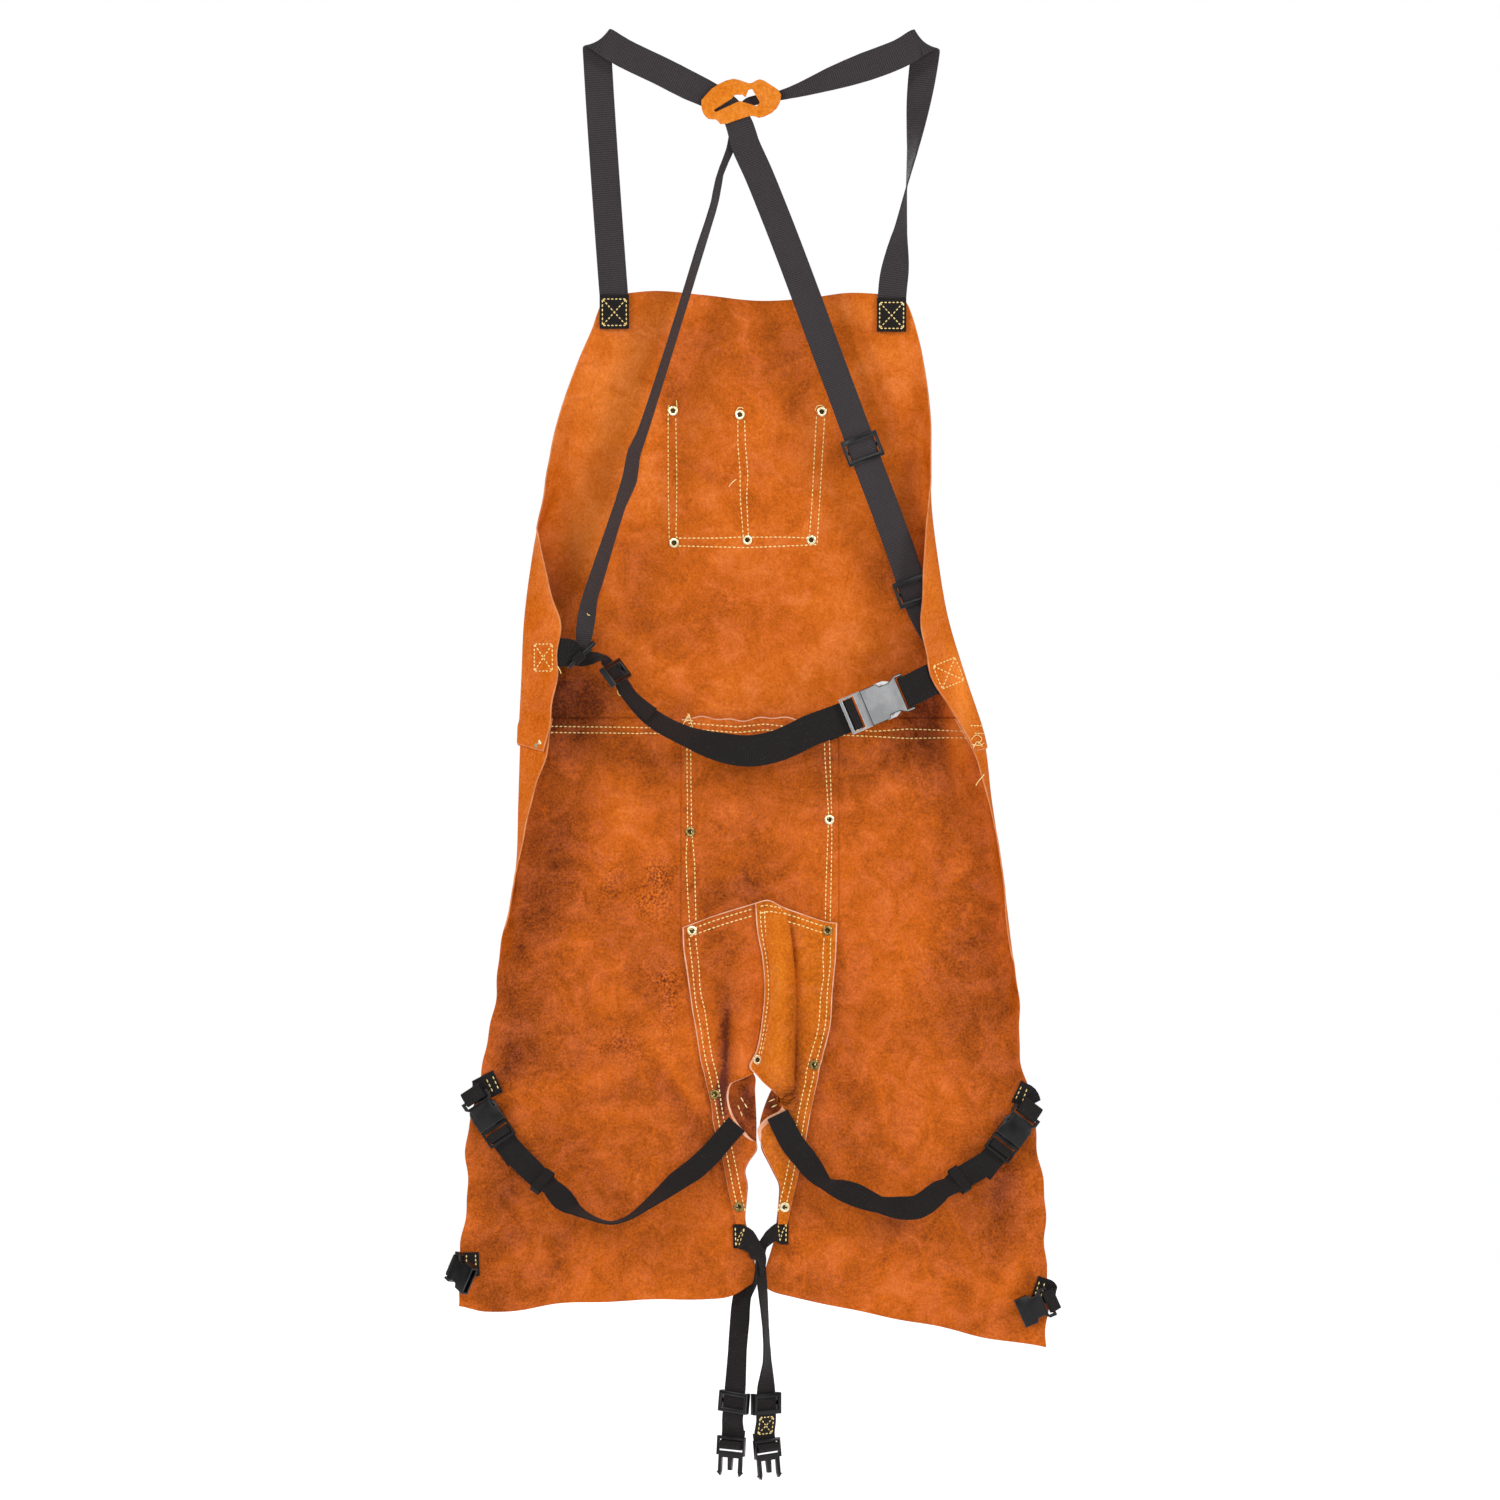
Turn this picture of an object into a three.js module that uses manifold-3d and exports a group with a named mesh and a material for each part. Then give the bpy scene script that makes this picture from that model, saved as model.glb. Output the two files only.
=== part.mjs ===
// A leather split-leg work apron hanging by its shoulder straps, with its straps, buckles and rivets.
// Millimetres, +Z up. The wearer's side faces -Y, +X is to the right of someone looking at that side, and the
// origin lies between the two strap folds that the apron hangs by.
import * as THREE from "three";
import { mergeVertices } from "three/addons/utils/BufferGeometryUtils.js";
import Module from "manifold-3d";

const wasm = await Module();
wasm.setup();

// Driving sizes
const LEATHER = 1.6;
const LAYER = LEATHER + 0.4;
const CLEARANCE = 0.35;
const SEWN_CLEARANCE = 0.6;
const WEBBING = 1.4;
const SHOULDER_WEB = 30;
const BELT_WEB = 33;
const LEG_WEB = 25;
const CURL_RADIUS = 15;
const STRAP_FOLD_RADIUS = 6;
const BIB_BOTTOM = -753;
const LEG_TOP = -711;
const POCKET = { left: -97, right: 78, top: -376, bottom: -537 };
const SEAMS = { middle: 4, half: 92, top: -700, bottom: -1235 };
const RIVET = { flange: 5.2, shank: 2.2, hole: 2.7, sides: 8 };

// Which sewn layer each sheet is, counted from the outer face of the bib towards the wearer
const LAYER_OF = {
  chest_pocket: -1,
  bib_panel: 0,
  left_leg_panel: 1,
  right_leg_panel: 1,
  centre_panel: 2,
  left_gusset: 3,
  right_gusset: 4.3,
};

const degrees = THREE.MathUtils.degToRad;
const lerp = THREE.MathUtils.lerp;
const point = (x, y, z) => new THREE.Vector3(x, y, z);
const TO_WEARER = point(0, -1, 0);
const FROM_WEARER = point(0, 1, 0);

function table(columns, rows) {
  const names = columns.split(" ");
  return rows.map((row) => Object.fromEntries(names.map((name, n) => [name, row[n]])));
}

// How the hide hangs: the visible side edges at each height, how far each edge curls round towards the wearer
// (turn, in degrees), the length of flap beyond the curl, and how far the middle bows outwards
const HANG = table("z left right leftTurn leftFlap rightTurn rightFlap bow", [
  [-263, -165, 159, 4, 12, 4, 12, 6],
  [-326, -186, 174, 12, 14, 12, 14, 9],
  [-399, -208, 182, 30, 18, 55, 16, 12],
  [-483, -222, 182, 66, 22, 97, 18, 15],
  [-545, -233, 189, 115, 26, 122, 24, 17],
  [-608, -241, 200, 148, 32, 138, 30, 18],
  [-671, -244, 219, 152, 32, 150, 32, 17],
  [-734, -247, 239, 148, 28, 128, 24, 15],
  [-796, -249, 247, 125, 22, 100, 18, 12],
  [-869, -252, 258, 92, 16, 88, 14, 9],
  [-943, -266, 267, 58, 14, 98, 14, 6],
  [-1005, -274, 275, 34, 12, 64, 12, 4],
  [-1068, -284, 278, 20, 12, 30, 12, 2],
  [-1136, -300, 292, 12, 12, 14, 12, 0],
  [-1214, -303, 301, 8, 12, 8, 12, 0],
  [-1292, -310, 304, 5, 12, 5, 12, 0],
  [-1372, -316, 304, 4, 12, 4, 12, 0],
]);

// Soft folds: middle, direction in degrees from +X, half length, half width, height towards the wearer
const FOLDS = table("x z angle length width depth", [
  [-62, -312, 88, 34, 17, -3],
  [74, -310, 80, 32, 18, -3],
  [10, -650, 4, 110, 22, 3],
  [-150, -840, 60, 90, 30, 4],
  [-120, -1010, 70, 70, 22, -4],
  [-170, -1120, 20, 90, 32, 7],
  [-200, -1230, 80, 60, 30, -5],
  [150, -880, 100, 110, 34, 4],
  [140, -1080, 120, 90, 28, 5],
  [200, -1210, 75, 80, 34, -6],
  [90, -1260, 95, 60, 26, 5],
  [-80, -1270, 95, 60, 26, 5],
]);

// The gussets stand away from the legs in two upright folds
const GUSSET_FOLDS = table("x z angle length width depth", [
  [15, -1010, 92, 100, 12, 15],
  [-5, -1070, 94, 58, 12, 11],
]);

const TOP_EDGE = table("x z", [
  [-165, -269],
  [-120, -264],
  [-60, -268],
  [0, -274],
  [50, -272],
  [105, -266],
  [159, -269],
]);

// Inner edges of the two legs
const INSEAM = table("z left right", [
  [-709, -61, 69],
  [-932, -58, 67],
  [-1026, -46, 56],
  [-1073, -19, 38],
  [-1099, -1, 17],
  [-1131, -2, 4],
  [-1162, 1, 6],
  [-1188, -8, 16],
  [-1220, -9, 21],
  [-1251, -7, 20],
  [-1282, -1, 11],
  [-1303, -4, 4],
  [-1340, -16, -2],
]);

// Hem heights, from the outer edge of each leg (share 0) to its inner edge (share 1)
const HEM = table("share left right", [
  [0, -1325, -1368],
  [0.1, -1332, -1364],
  [0.35, -1323, -1348],
  [0.7, -1318, -1327],
  [0.9, -1312, -1314],
  [1, -1294, -1302],
]);

// Edges of the two gussets, which lap at the centre seam and part below it
const GUSSETS = table("z leftOuter leftInner rightInner rightOuter", [
  [-905, -77, 18, -2, 85],
  [-936, -76, 19, 2, 84],
  [-998, -69, 20, 4, 80],
  [-1031, -64, 16, 0, 78],
  [-1062, -59, 10, -8, 71],
  [-1076, -56, 3, -9, 67],
  [-1088, -53, -16, 4, 65],
  [-1100, -50, -26, 19, 62],
  [-1113, -48, -30, 32, 59],
  [-1135, -45, -32, 40, 55],
  [-1165, -36, -24, 37, 49],
  [-1200, -30, -13, 28, 42],
  [-1233, -22, -11, 23, 34],
]);

// Top edge of the gussets, an arch across the centre panel
const ARCH = table("x z", [
  [-78, -930],
  [-43, -917],
  [0, -904],
  [13, -901],
  [28, -908],
  [71, -923],
  [86, -925],
]);

// Rivets by their place on the wearer's side and the sheets they go through
const RIVETS = table("name x z through", [
  ["pocket_rivet_1", -87, -389, ["chest_pocket", "bib_panel"]],
  ["pocket_rivet_2", -17, -393, ["chest_pocket", "bib_panel"]],
  ["pocket_rivet_3", 69, -390, ["chest_pocket", "bib_panel"]],
  ["pocket_rivet_4", -86, -527, ["chest_pocket", "bib_panel"]],
  ["pocket_rivet_5", -9, -524, ["chest_pocket", "bib_panel"]],
  ["pocket_rivet_6", 58, -524, ["chest_pocket", "bib_panel"]],
  ["left_seam_rivet_1", -69, -830, ["left_leg_panel", "centre_panel"]],
  ["left_seam_rivet_2", -67, -933, ["left_leg_panel", "centre_panel", "left_gusset"]],
  ["left_seam_rivet_3", -43, -1104, ["left_leg_panel", "left_gusset"]],
  ["left_seam_rivet_4", -18, -1221, ["left_leg_panel", "left_gusset"]],
  ["right_seam_rivet_1", 77, -817, ["right_leg_panel", "centre_panel"]],
  ["right_seam_rivet_2", 75, -933, ["right_leg_panel", "centre_panel", "right_gusset"]],
  ["right_seam_rivet_3", 62, -1073, ["right_leg_panel", "right_gusset"]],
  ["right_seam_rivet_4", 30, -1221, ["right_leg_panel", "right_gusset"]],
  ["crotch_rivet", -3, -1067, ["left_gusset", "right_gusset"]],
]);
const HIP_RIVET = {
  name: "left_hip_rivet",
  fromFlapEnd: 10,
  z: -738,
  through: ["bib_panel", "left_leg_panel"],
};

// Straps: points along the middle of the webbing, the way its face points (azimuth from the wearer's side
// towards +X, elevation upwards, in degrees) and the share of its full width that is spread out
const STRAP_COLUMNS = "x y z azimuth elevation share";
const LEFT_STRAP_RISE = table(STRAP_COLUMNS, [
  [-149.4, -4.4, -257, 3, 0, 1],
  [-153.6, -3, -201, 0, 0, 1],
  [-158.8, -1.6, -128, 0, 0, 1],
  [-163, -1.6, -65, 0, 0, 1],
]);
const LEFT_STRAP_FALL = table(STRAP_COLUMNS, [
  [-137, -14, -18, 180, 0, 1],
  [-100, -16, -36, 180, 0, 1],
  [-69, -18, -52, 180, 0, 1],
  [-43, -20, -65, 180, 0, 0.9],
  [-26, -21, -78, 180, 0, 0.85],
  [-17, -21.5, -94, 180, 0, 0.95],
  [-11, -22, -114, 180, 0, 1],
  [2, -23.5, -143, 180, 0, 1],
  [33, -26, -221, 180, 0, 1],
  [72, -27, -326, 180, 0, 1],
  [104, -26, -412, 180, 0, 1],
  [110.8, -25.5, -430.5, 180, 0, 1],
  [117.6, -25, -449, 180, 0, 1],
  [131, -23.5, -484, 180, 0, 1],
  [150, -19.5, -535, 180, 0, 1],
  [158.5, -17.5, -560, 180, 0, 1],
  [164.6, -16, -578, 180, 0, 1],
  [170.7, -15.5, -596, 186, 0, 0.95],
]);
const RIGHT_STRAP_RISE = table(STRAP_COLUMNS, [
  [143.2, -6, -257, -1, 0, 1],
  [147, -8, -230, 32, 0, 1],
  [151, -5, -203, 62, 0, 1],
  [157, -3.6, -159, 88, 0, 1],
  [164, -3.2, -115, 112, 0, 1],
  [170, -2.4, -67, 146, 0, 1],
]);
const RIGHT_STRAP_FALL = table(STRAP_COLUMNS, [
  [150, -15, -16, 0, 0, 1],
  [114, -16, -28, 18, 0, 1],
  [77, -17, -41, 40, 0, 0.8],
  [46, -17, -52, 40, 0, 0.5],
  [25, -17, -60, 14, 0, 0.34],
  [6, -17, -68, 0, 0, 0.34],
  [-11, -17, -80, 0, 0, 0.34],
  [-22, -17.5, -97, 0, 0, 0.34],
  [-29, -18, -120, 14, 0, 0.34],
  [-36, -19, -148, 56, 0, 0.45],
  [-46, -21, -175, 76, 0, 0.8],
  [-60, -23, -222, 78, 0, 1],
  [-90, -25, -326, 76, 0, 1],
  [-124, -26, -431, 72, 0, 1],
  [-142, -26, -492, 66, 0, 1],
  [-160, -26, -545, 60, 0, 1],
  [-174, -28, -590, 58, 0, 0.9],
]);
const BELT_RUN = table(STRAP_COLUMNS, [
  [-160, -36.5, -648, 0, 72, 0.6],
  [-146, -37.5, -664, 0, 71, 0.7],
  [-131, -38.5, -688, 0, 68, 0.9],
  [-100, -39.5, -716, 0, 60, 1],
  [-69, -40.5, -731, 0, 52, 1],
  [-37, -41, -740, 0, 34, 1],
  [-6, -41.5, -744, 0, 20, 1],
  [25, -41.7, -738, 0, 8, 1],
  [56, -41.8, -724, 0, 0, 1],
]);
const LEFT_THIGH_RUN = table(STRAP_COLUMNS, [
  [-225, -22, -1193, 0, 8, 1],
  [-211, -25, -1204, 0, 24, 1],
  [-196, -28, -1216, 0, 48, 1],
  [-166, -31, -1231, 0, 74, 1],
  [-142, -31, -1233, 0, 78, 1],
  [-118, -29, -1222, 0, 66, 1],
  [-96, -25, -1205, 0, 40, 1],
  [-70, -19, -1184, 0, 16, 1],
  [-46, -14, -1160, 0, 0, 1],
  [-25, -11, -1140, 0, 0, 0.9],
  [-12, -8.5, -1121, 0, 0, 0.7],
]);
const RIGHT_THIGH_RUN = table(STRAP_COLUMNS, [
  [214, -22, -1196, 0, 6, 1],
  [197, -25, -1202, 0, 14, 1],
  [180, -28, -1213, 0, 26, 1],
  [152, -31, -1222, 0, 34, 1],
  [119, -31, -1215, 0, 34, 1],
  [88, -28, -1202, 0, 38, 1],
  [70, -23, -1188, 0, 34, 1],
  [54, -18, -1172, 0, 10, 1],
  [38, -14, -1152, 0, 0, 1],
  [28, -11, -1133, 0, 0, 0.85],
  [19, -9, -1115, 0, 0, 0.7],
]);
const LEFT_ANKLE_RUN = table(STRAP_COLUMNS, [
  [-10, -13, -1255, 0, 0, 0.95],
  [-1, -15, -1264, 0, 0, 0.6],
  [2, -19, -1281, 0, 0, 0.7],
  [-6, -20, -1306, -24, 0, 0.85],
  [-14, -18, -1330, -30, 0, 0.9],
  [-19, -14, -1371, -34, 0, 0.9],
  [-21.5, -13.5, -1406, -30, 0, 1],
  [-23, -13, -1424, -30, 0, 1],
  [-24.5, -12.5, -1442, -30, 0, 1],
]);
const RIGHT_ANKLE_RUN = table(STRAP_COLUMNS, [
  [17, -11.5, -1250, 0, 0, 0.6],
  [7, -11, -1261, 8, 0, 0.4],
  [5, -10.5, -1279, 20, 0, 0.4],
  [7, -11, -1308, 58, 0, 0.7],
  [10, -11, -1345, 76, 0, 1],
  [11.5, -9, -1382, 70, 0, 1],
  [10.5, -9, -1408, 44, 0, 1],
  [10.5, -9, -1426, 36, 0, 1],
  [10.5, -9, -1444, 34, 0, 1],
]);

// Buckles: middle of the joint between plug and socket, the way from plug to socket and the face's way
const WAIST_BUCKLE = {
  web: BELT_WEB,
  joint: point(114.5, -42, -701),
  along: point(0.921, 0, 0.39),
  face: TO_WEARER,
};
const LEFT_THIGH_BUCKLE = {
  web: LEG_WEB,
  joint: point(-274, -14.8, -1135),
  along: point(-0.55, 0.03, 0.83),
  face: point(-0.15, -1, 0),
};
const RIGHT_THIGH_BUCKLE = {
  web: LEG_WEB,
  joint: point(262, -15.6, -1150),
  along: point(0.6, 0.03, 0.8),
  face: point(0.15, -1, 0),
};
const LEFT_ANKLE_SOCKET = {
  web: LEG_WEB,
  joint: point(-297, -37, -1296),
  along: point(-0.55, 0.72, 0.42),
  face: point(-0.72, -0.65, 0.15),
};
const RIGHT_ANKLE_SOCKET = {
  web: LEG_WEB,
  joint: point(275, -14, -1332),
  along: point(0.915, 0, 0.403),
  face: point(0.1, -1, 0),
};
const LEFT_ANKLE_PLUG = {
  web: LEG_WEB,
  joint: point(-26.4, -11.8, -1480),
  along: point(-0.05, 0, -1),
  face: point(-0.4, -1, 0),
};
const RIGHT_ANKLE_PLUG = {
  web: LEG_WEB,
  joint: point(12.5, -9, -1483),
  along: point(0.08, 0, -1),
  face: point(0.6, -1, 0),
};

// Looks of the five materials
const LEATHER_LOOK = new THREE.MeshStandardMaterial({ color: 0xb4561f, roughness: 0.75, metalness: 0 });
const SUEDE_LOOK = new THREE.MeshStandardMaterial({ color: 0xcf7a2c, roughness: 0.9, metalness: 0 });
const WEBBING_LOOK = new THREE.MeshStandardMaterial({ color: 0x262325, roughness: 0.85, metalness: 0 });
const PLASTIC_LOOK = new THREE.MeshStandardMaterial({ color: 0x121214, roughness: 0.35, metalness: 0 });
const BRASS_LOOK = new THREE.MeshStandardMaterial({ color: 0xd9c98f, roughness: 0.3, metalness: 1 });

const apron = new THREE.Group();

function addPiece(name, geometry, look) {
  const mesh = new THREE.Mesh(geometry, look);
  mesh.name = name;
  apron.add(mesh);
}

// Reading the tables: a smooth curve through the rows
function smooth(rows, key, column, at) {
  const last = rows.length - 1;
  const falling = rows[0][key] > rows[last][key];
  let n = rows.findIndex((row, i) => i > 0 && (falling ? at >= row[key] : at <= row[key]));
  if (n < 0) {
    n = last;
  }
  const slope = (i) => {
    const before = rows[Math.max(i - 1, 0)];
    const after = rows[Math.min(i + 1, last)];
    return (after[column] - before[column]) / (after[key] - before[key]);
  };
  const from = rows[n - 1];
  const to = rows[n];
  const span = to[key] - from[key];
  const t = THREE.MathUtils.clamp((at - from[key]) / span, 0, 1);
  const rise = t * t * (3 - 2 * t);
  const leave = t * (1 - t) * (1 - t) * span * slope(n - 1);
  const arrive = t * t * (t - 1) * span * slope(n);
  return lerp(from[column], to[column], rise) + leave + arrive;
}

function foldHeight(folds, x, z) {
  let height = 0;
  for (const fold of folds) {
    const turn = degrees(fold.angle);
    const along = ((x - fold.x) * Math.cos(turn) + (z - fold.z) * Math.sin(turn)) / fold.length;
    const across = ((z - fold.z) * Math.cos(turn) - (x - fold.x) * Math.sin(turn)) / fold.width;
    height += fold.depth * Math.exp(-along * along - across * across);
  }
  return height;
}

// The doubled seams down the middle of the legs hold the hide flat
function seamCalm(x, z) {
  const fromSeams = THREE.MathUtils.smoothstep(Math.abs(x - SEAMS.middle), SEAMS.half, SEAMS.half + 45);
  const aboveSeams = THREE.MathUtils.smoothstep(z, SEAMS.top, SEAMS.top + 40);
  const belowSeams = 1 - THREE.MathUtils.smoothstep(z, SEAMS.bottom - 30, SEAMS.bottom);
  return Math.max(fromSeams, aboveSeams, belowSeams);
}

// One level cut through the hanging hide: a bowed middle, then a curl and a flap at each side
function section(z) {
  const read = (column) => smooth(HANG, "z", column, z);
  const bow = read("bow");
  const lean = Math.atan((4 * bow) / (read("right") - read("left")));
  const side = (edge, sign, turnDegrees, flap) => {
    const turn = Math.max(degrees(turnDegrees), lean);
    const curlReach = CURL_RADIUS * (Math.sin(Math.min(turn, Math.PI / 2)) - Math.sin(lean));
    const reach = curlReach + flap * Math.max(Math.cos(turn), 0);
    const arc = CURL_RADIUS * (turn - lean);
    const start = edge - sign * reach;
    return { sign, turn, flap, arc, start, end: start + sign * (arc + flap) };
  };
  const left = side(read("left"), -1, read("leftTurn"), read("leftFlap"));
  const right = side(read("right"), 1, read("rightTurn"), read("rightFlap"));
  const middle = (left.start + right.start) / 2;
  return { bow, lean, left, right, middle, half: right.start - middle };
}

// The hide's middle surface: s runs across it, equal to x on the middle and to the length along the curls
function hide(s, z) {
  const cut = section(z);
  const offset = s - cut.middle;
  let x = s;
  let y = cut.bow * (1 - (offset / cut.half) ** 2);
  if (Math.abs(offset) > cut.half) {
    const side = offset < 0 ? cut.left : cut.right;
    const beyond = Math.abs(offset) - cut.half;
    const turn = cut.lean + Math.min(beyond, side.arc) / CURL_RADIUS;
    const straight = Math.max(beyond - side.arc, 0);
    const outwards = CURL_RADIUS * (Math.sin(turn) - Math.sin(cut.lean)) + straight * Math.cos(turn);
    x = side.start + side.sign * outwards;
    y = CURL_RADIUS * (Math.cos(turn) - Math.cos(cut.lean)) - straight * Math.sin(turn);
  }
  return point(x, y - foldHeight(FOLDS, x, z) * seamCalm(x, z), z);
}

function gussetHide(s, z) {
  const place = hide(s, z);
  place.y -= foldHeight(GUSSET_FOLDS, s, z);
  return place;
}

function towardsWearer(cloth, s, z) {
  const step = 0.5;
  const across = cloth(s + step, z).sub(cloth(s - step, z));
  const up = cloth(s, z + step).sub(cloth(s, z - step));
  return across.cross(up).normalize();
}

function lifted(cloth, s, z, height) {
  return cloth(s, z).addScaledVector(towardsWearer(cloth, s, z), height);
}

function geometryOf(points, index) {
  const geometry = new THREE.BufferGeometry();
  const numbers = points.flatMap((p) => [p.x, p.y, p.z]);
  geometry.setAttribute("position", new THREE.Float32BufferAttribute(numbers, 3));
  geometry.setIndex(index);
  return geometry;
}

// Boolean cuts and joins
function toSolid(geometry) {
  const bare = geometry.index ? geometry.toNonIndexed() : geometry.clone();
  bare.deleteAttribute("normal");
  bare.deleteAttribute("uv");
  const merged = mergeVertices(bare, 1e-4);
  const vertProperties = new Float32Array(merged.attributes.position.array);
  const triVerts = new Uint32Array(merged.index.array);
  return new wasm.Manifold(new wasm.Mesh({ numProp: 3, vertProperties, triVerts }));
}

function fromSolid(solid) {
  const mesh = solid.getMesh();
  const geometry = new THREE.BufferGeometry();
  geometry.setAttribute("position", new THREE.Float32BufferAttribute(mesh.vertProperties, 3));
  geometry.setIndex(Array.from(mesh.triVerts));
  return geometry;
}

function subtract(body, cuts) {
  return fromSolid(cuts.reduce((left, cut) => left.subtract(toSolid(cut)), toSolid(body)));
}

function join(bodies) {
  return fromSolid(bodies.map(toSolid).reduce((whole, body) => whole.add(body)));
}

function boxBetween(low, high) {
  const box = new THREE.BoxGeometry(high[0] - low[0], high[1] - low[1], high[2] - low[2]);
  return box.translate((low[0] + high[0]) / 2, (low[1] + high[1]) / 2, (low[2] + high[2]) / 2);
}

// Sheets: a grid on the hide, given its thickness
const BIB_GRID = { columns: 26, rows: 16, curl: 8, lap: 2 };
const LEG_GRID = { columns: 15, rows: 16, curl: 8, lap: 2 };
const GUSSET_GRID = { columns: 9, rows: 16, lap: 4 };
const BIB_CURL_SHARE = BIB_GRID.curl / BIB_GRID.columns;
const LEG_CURL_SHARE = LEG_GRID.curl / LEG_GRID.columns;
const BIB_LAP_SHARE = 1 - BIB_GRID.lap / BIB_GRID.rows;
const LEG_LAP_SHARE = LEG_GRID.lap / LEG_GRID.rows;
const GUSSET_LAP_SHARE = GUSSET_GRID.lap / GUSSET_GRID.columns;

function sheet(cloth, columns, rows, layer, place) {
  const middle = layer * LAYER;
  const points = [];
  for (const height of [middle + LEATHER / 2, middle - LEATHER / 2]) {
    for (let j = 0; j <= rows; j += 1) {
      for (let i = 0; i <= columns; i += 1) {
        const [s, z] = place(i / columns, j / rows);
        points.push(lifted(cloth, s, z, height));
      }
    }
  }
  const across = columns + 1;
  const count = across * (rows + 1);
  const index = [];
  const quad = (a, b, c, d) => index.push(a, b, c, a, c, d);
  const rim = (a, b) => quad(a, b, count + b, count + a);
  for (let j = 0; j < rows; j += 1) {
    for (let i = 0; i < columns; i += 1) {
      const k = j * across + i;
      quad(k, k + across, k + across + 1, k + 1);
      quad(count + k, count + k + 1, count + k + across + 1, count + k + across);
    }
    rim(j * across + columns, (j + 1) * across + columns);
    rim((j + 1) * across, j * across);
  }
  for (let i = 0; i < columns; i += 1) {
    rim(i, i + 1);
    rim(rows * across + i + 1, rows * across + i);
  }
  return geometryOf(points, index);
}

// Columns are set closer on the curls, where they are tight
function acrossBib(u, z) {
  const cut = section(z);
  const curled = lerp(BIB_CURL_SHARE, 0.1, THREE.MathUtils.smoothstep(z, -560, -330));
  if (u < curled) {
    return lerp(cut.left.end, cut.left.start, u / curled);
  }
  if (u > 1 - curled) {
    return lerp(cut.right.end, cut.right.start, (1 - u) / curled);
  }
  return lerp(cut.left.start, cut.right.start, (u - curled) / (1 - 2 * curled));
}

function acrossLeg(side, share, z) {
  const cut = section(z)[side];
  const curled = lerp(0.12, LEG_CURL_SHARE, THREE.MathUtils.smoothstep(z, -1000, -780));
  const inner = smooth(INSEAM, "z", side, z);
  if (share < curled) {
    return lerp(cut.end, cut.start, share / curled);
  }
  return lerp(cut.start, inner, (share - curled) / (1 - curled));
}

// The bib and the legs share the rows of the lap between them
function placeOnBib(u, v) {
  const top = smooth(TOP_EDGE, "x", "z", lerp(-165, 159, u));
  const aboveLap = lerp(top, LEG_TOP, v / BIB_LAP_SHARE);
  const inLap = lerp(BIB_BOTTOM, LEG_TOP, (1 - v) / (1 - BIB_LAP_SHARE));
  const z = v < BIB_LAP_SHARE ? aboveLap : inLap;
  return [acrossBib(u, z), z];
}

function placeOnLeg(side) {
  return (u, v) => {
    const share = side === "left" ? u : 1 - u;
    const hemShare = share < 0.12 ? 0.4 * share : lerp(0.048, 1, (share - 0.12) / 0.88);
    const inLap = lerp(LEG_TOP, BIB_BOTTOM, v / LEG_LAP_SHARE);
    const belowLap = lerp(smooth(HEM, "share", side, hemShare), BIB_BOTTOM, (1 - v) / (1 - LEG_LAP_SHARE));
    const z = v < LEG_LAP_SHARE ? inLap : belowLap;
    return [acrossLeg(side, share, z), z];
  };
}

function placeOnCentre(u, v) {
  const s = lerp(-78, 86, u);
  return [s, lerp(-709, smooth(ARCH, "x", "z", s) - 24, v)];
}

// The gussets share the columns of the lap at the centre seam
function placeOnGusset(side) {
  const bend = side === "left" ? 1 - GUSSET_LAP_SHARE : GUSSET_LAP_SHARE;
  return (u, v) => {
    const row = lerp(-905, -1233, v);
    const read = (column) => smooth(GUSSETS, "z", column, row);
    const west = side === "left" ? read("leftOuter") : read("rightInner");
    const east = side === "left" ? read("leftInner") : read("rightOuter");
    const leftLap = Math.min(read("rightInner"), east - 4);
    const rightLap = Math.max(read("leftInner"), west + 4);
    const lapEdge = side === "left" ? leftLap : rightLap;
    const s = u < bend ? lerp(west, lapEdge, u / bend) : lerp(lapEdge, east, (u - bend) / (1 - bend));
    const fade = Math.max(1 - v / 0.3, 0);
    return [s, row + (smooth(ARCH, "x", "z", s) + 905) * fade];
  };
}

function placeOnPocket(u, v) {
  return [lerp(POCKET.left, POCKET.right, u), lerp(POCKET.top, POCKET.bottom, v)];
}

const SHEETS = [
  { name: "bib_panel", cloth: hide, ...BIB_GRID, place: placeOnBib },
  { name: "left_leg_panel", cloth: hide, ...LEG_GRID, place: placeOnLeg("left") },
  { name: "right_leg_panel", cloth: hide, ...LEG_GRID, place: placeOnLeg("right") },
  { name: "centre_panel", cloth: hide, columns: 6, rows: 6, place: placeOnCentre },
  { name: "left_gusset", cloth: gussetHide, ...GUSSET_GRID, place: placeOnGusset("left") },
  { name: "right_gusset", cloth: gussetHide, ...GUSSET_GRID, place: placeOnGusset("right") },
  { name: "chest_pocket", cloth: hide, columns: 6, rows: 5, place: placeOnPocket },
];

// Rivets: a turned tube with a rolled ring on the wearer's side and a domed cap on the outer side
function rivetFrame(rivet) {
  const layers = rivet.through.map((name) => LAYER_OF[name]);
  const cloth = rivet.through.some((name) => name.endsWith("gusset")) ? gussetHide : hide;
  const s = rivet.fromFlapEnd ? section(rivet.z).left.end + rivet.fromFlapEnd : rivet.x;
  const axis = towardsWearer(cloth, s, rivet.z);
  const sag = cloth === gussetHide ? 0.15 * foldHeight(GUSSET_FOLDS, s, rivet.z) : 0;
  const turn = new THREE.Quaternion().setFromUnitVectors(point(0, 1, 0), axis);
  const matrix = new THREE.Matrix4().compose(cloth(s, rivet.z), turn, point(1, 1, 1));
  return {
    matrix,
    low: Math.min(...layers) * LAYER - LEATHER / 2 - CLEARANCE - sag,
    high: Math.max(...layers) * LAYER + LEATHER / 2 + CLEARANCE,
  };
}

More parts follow.
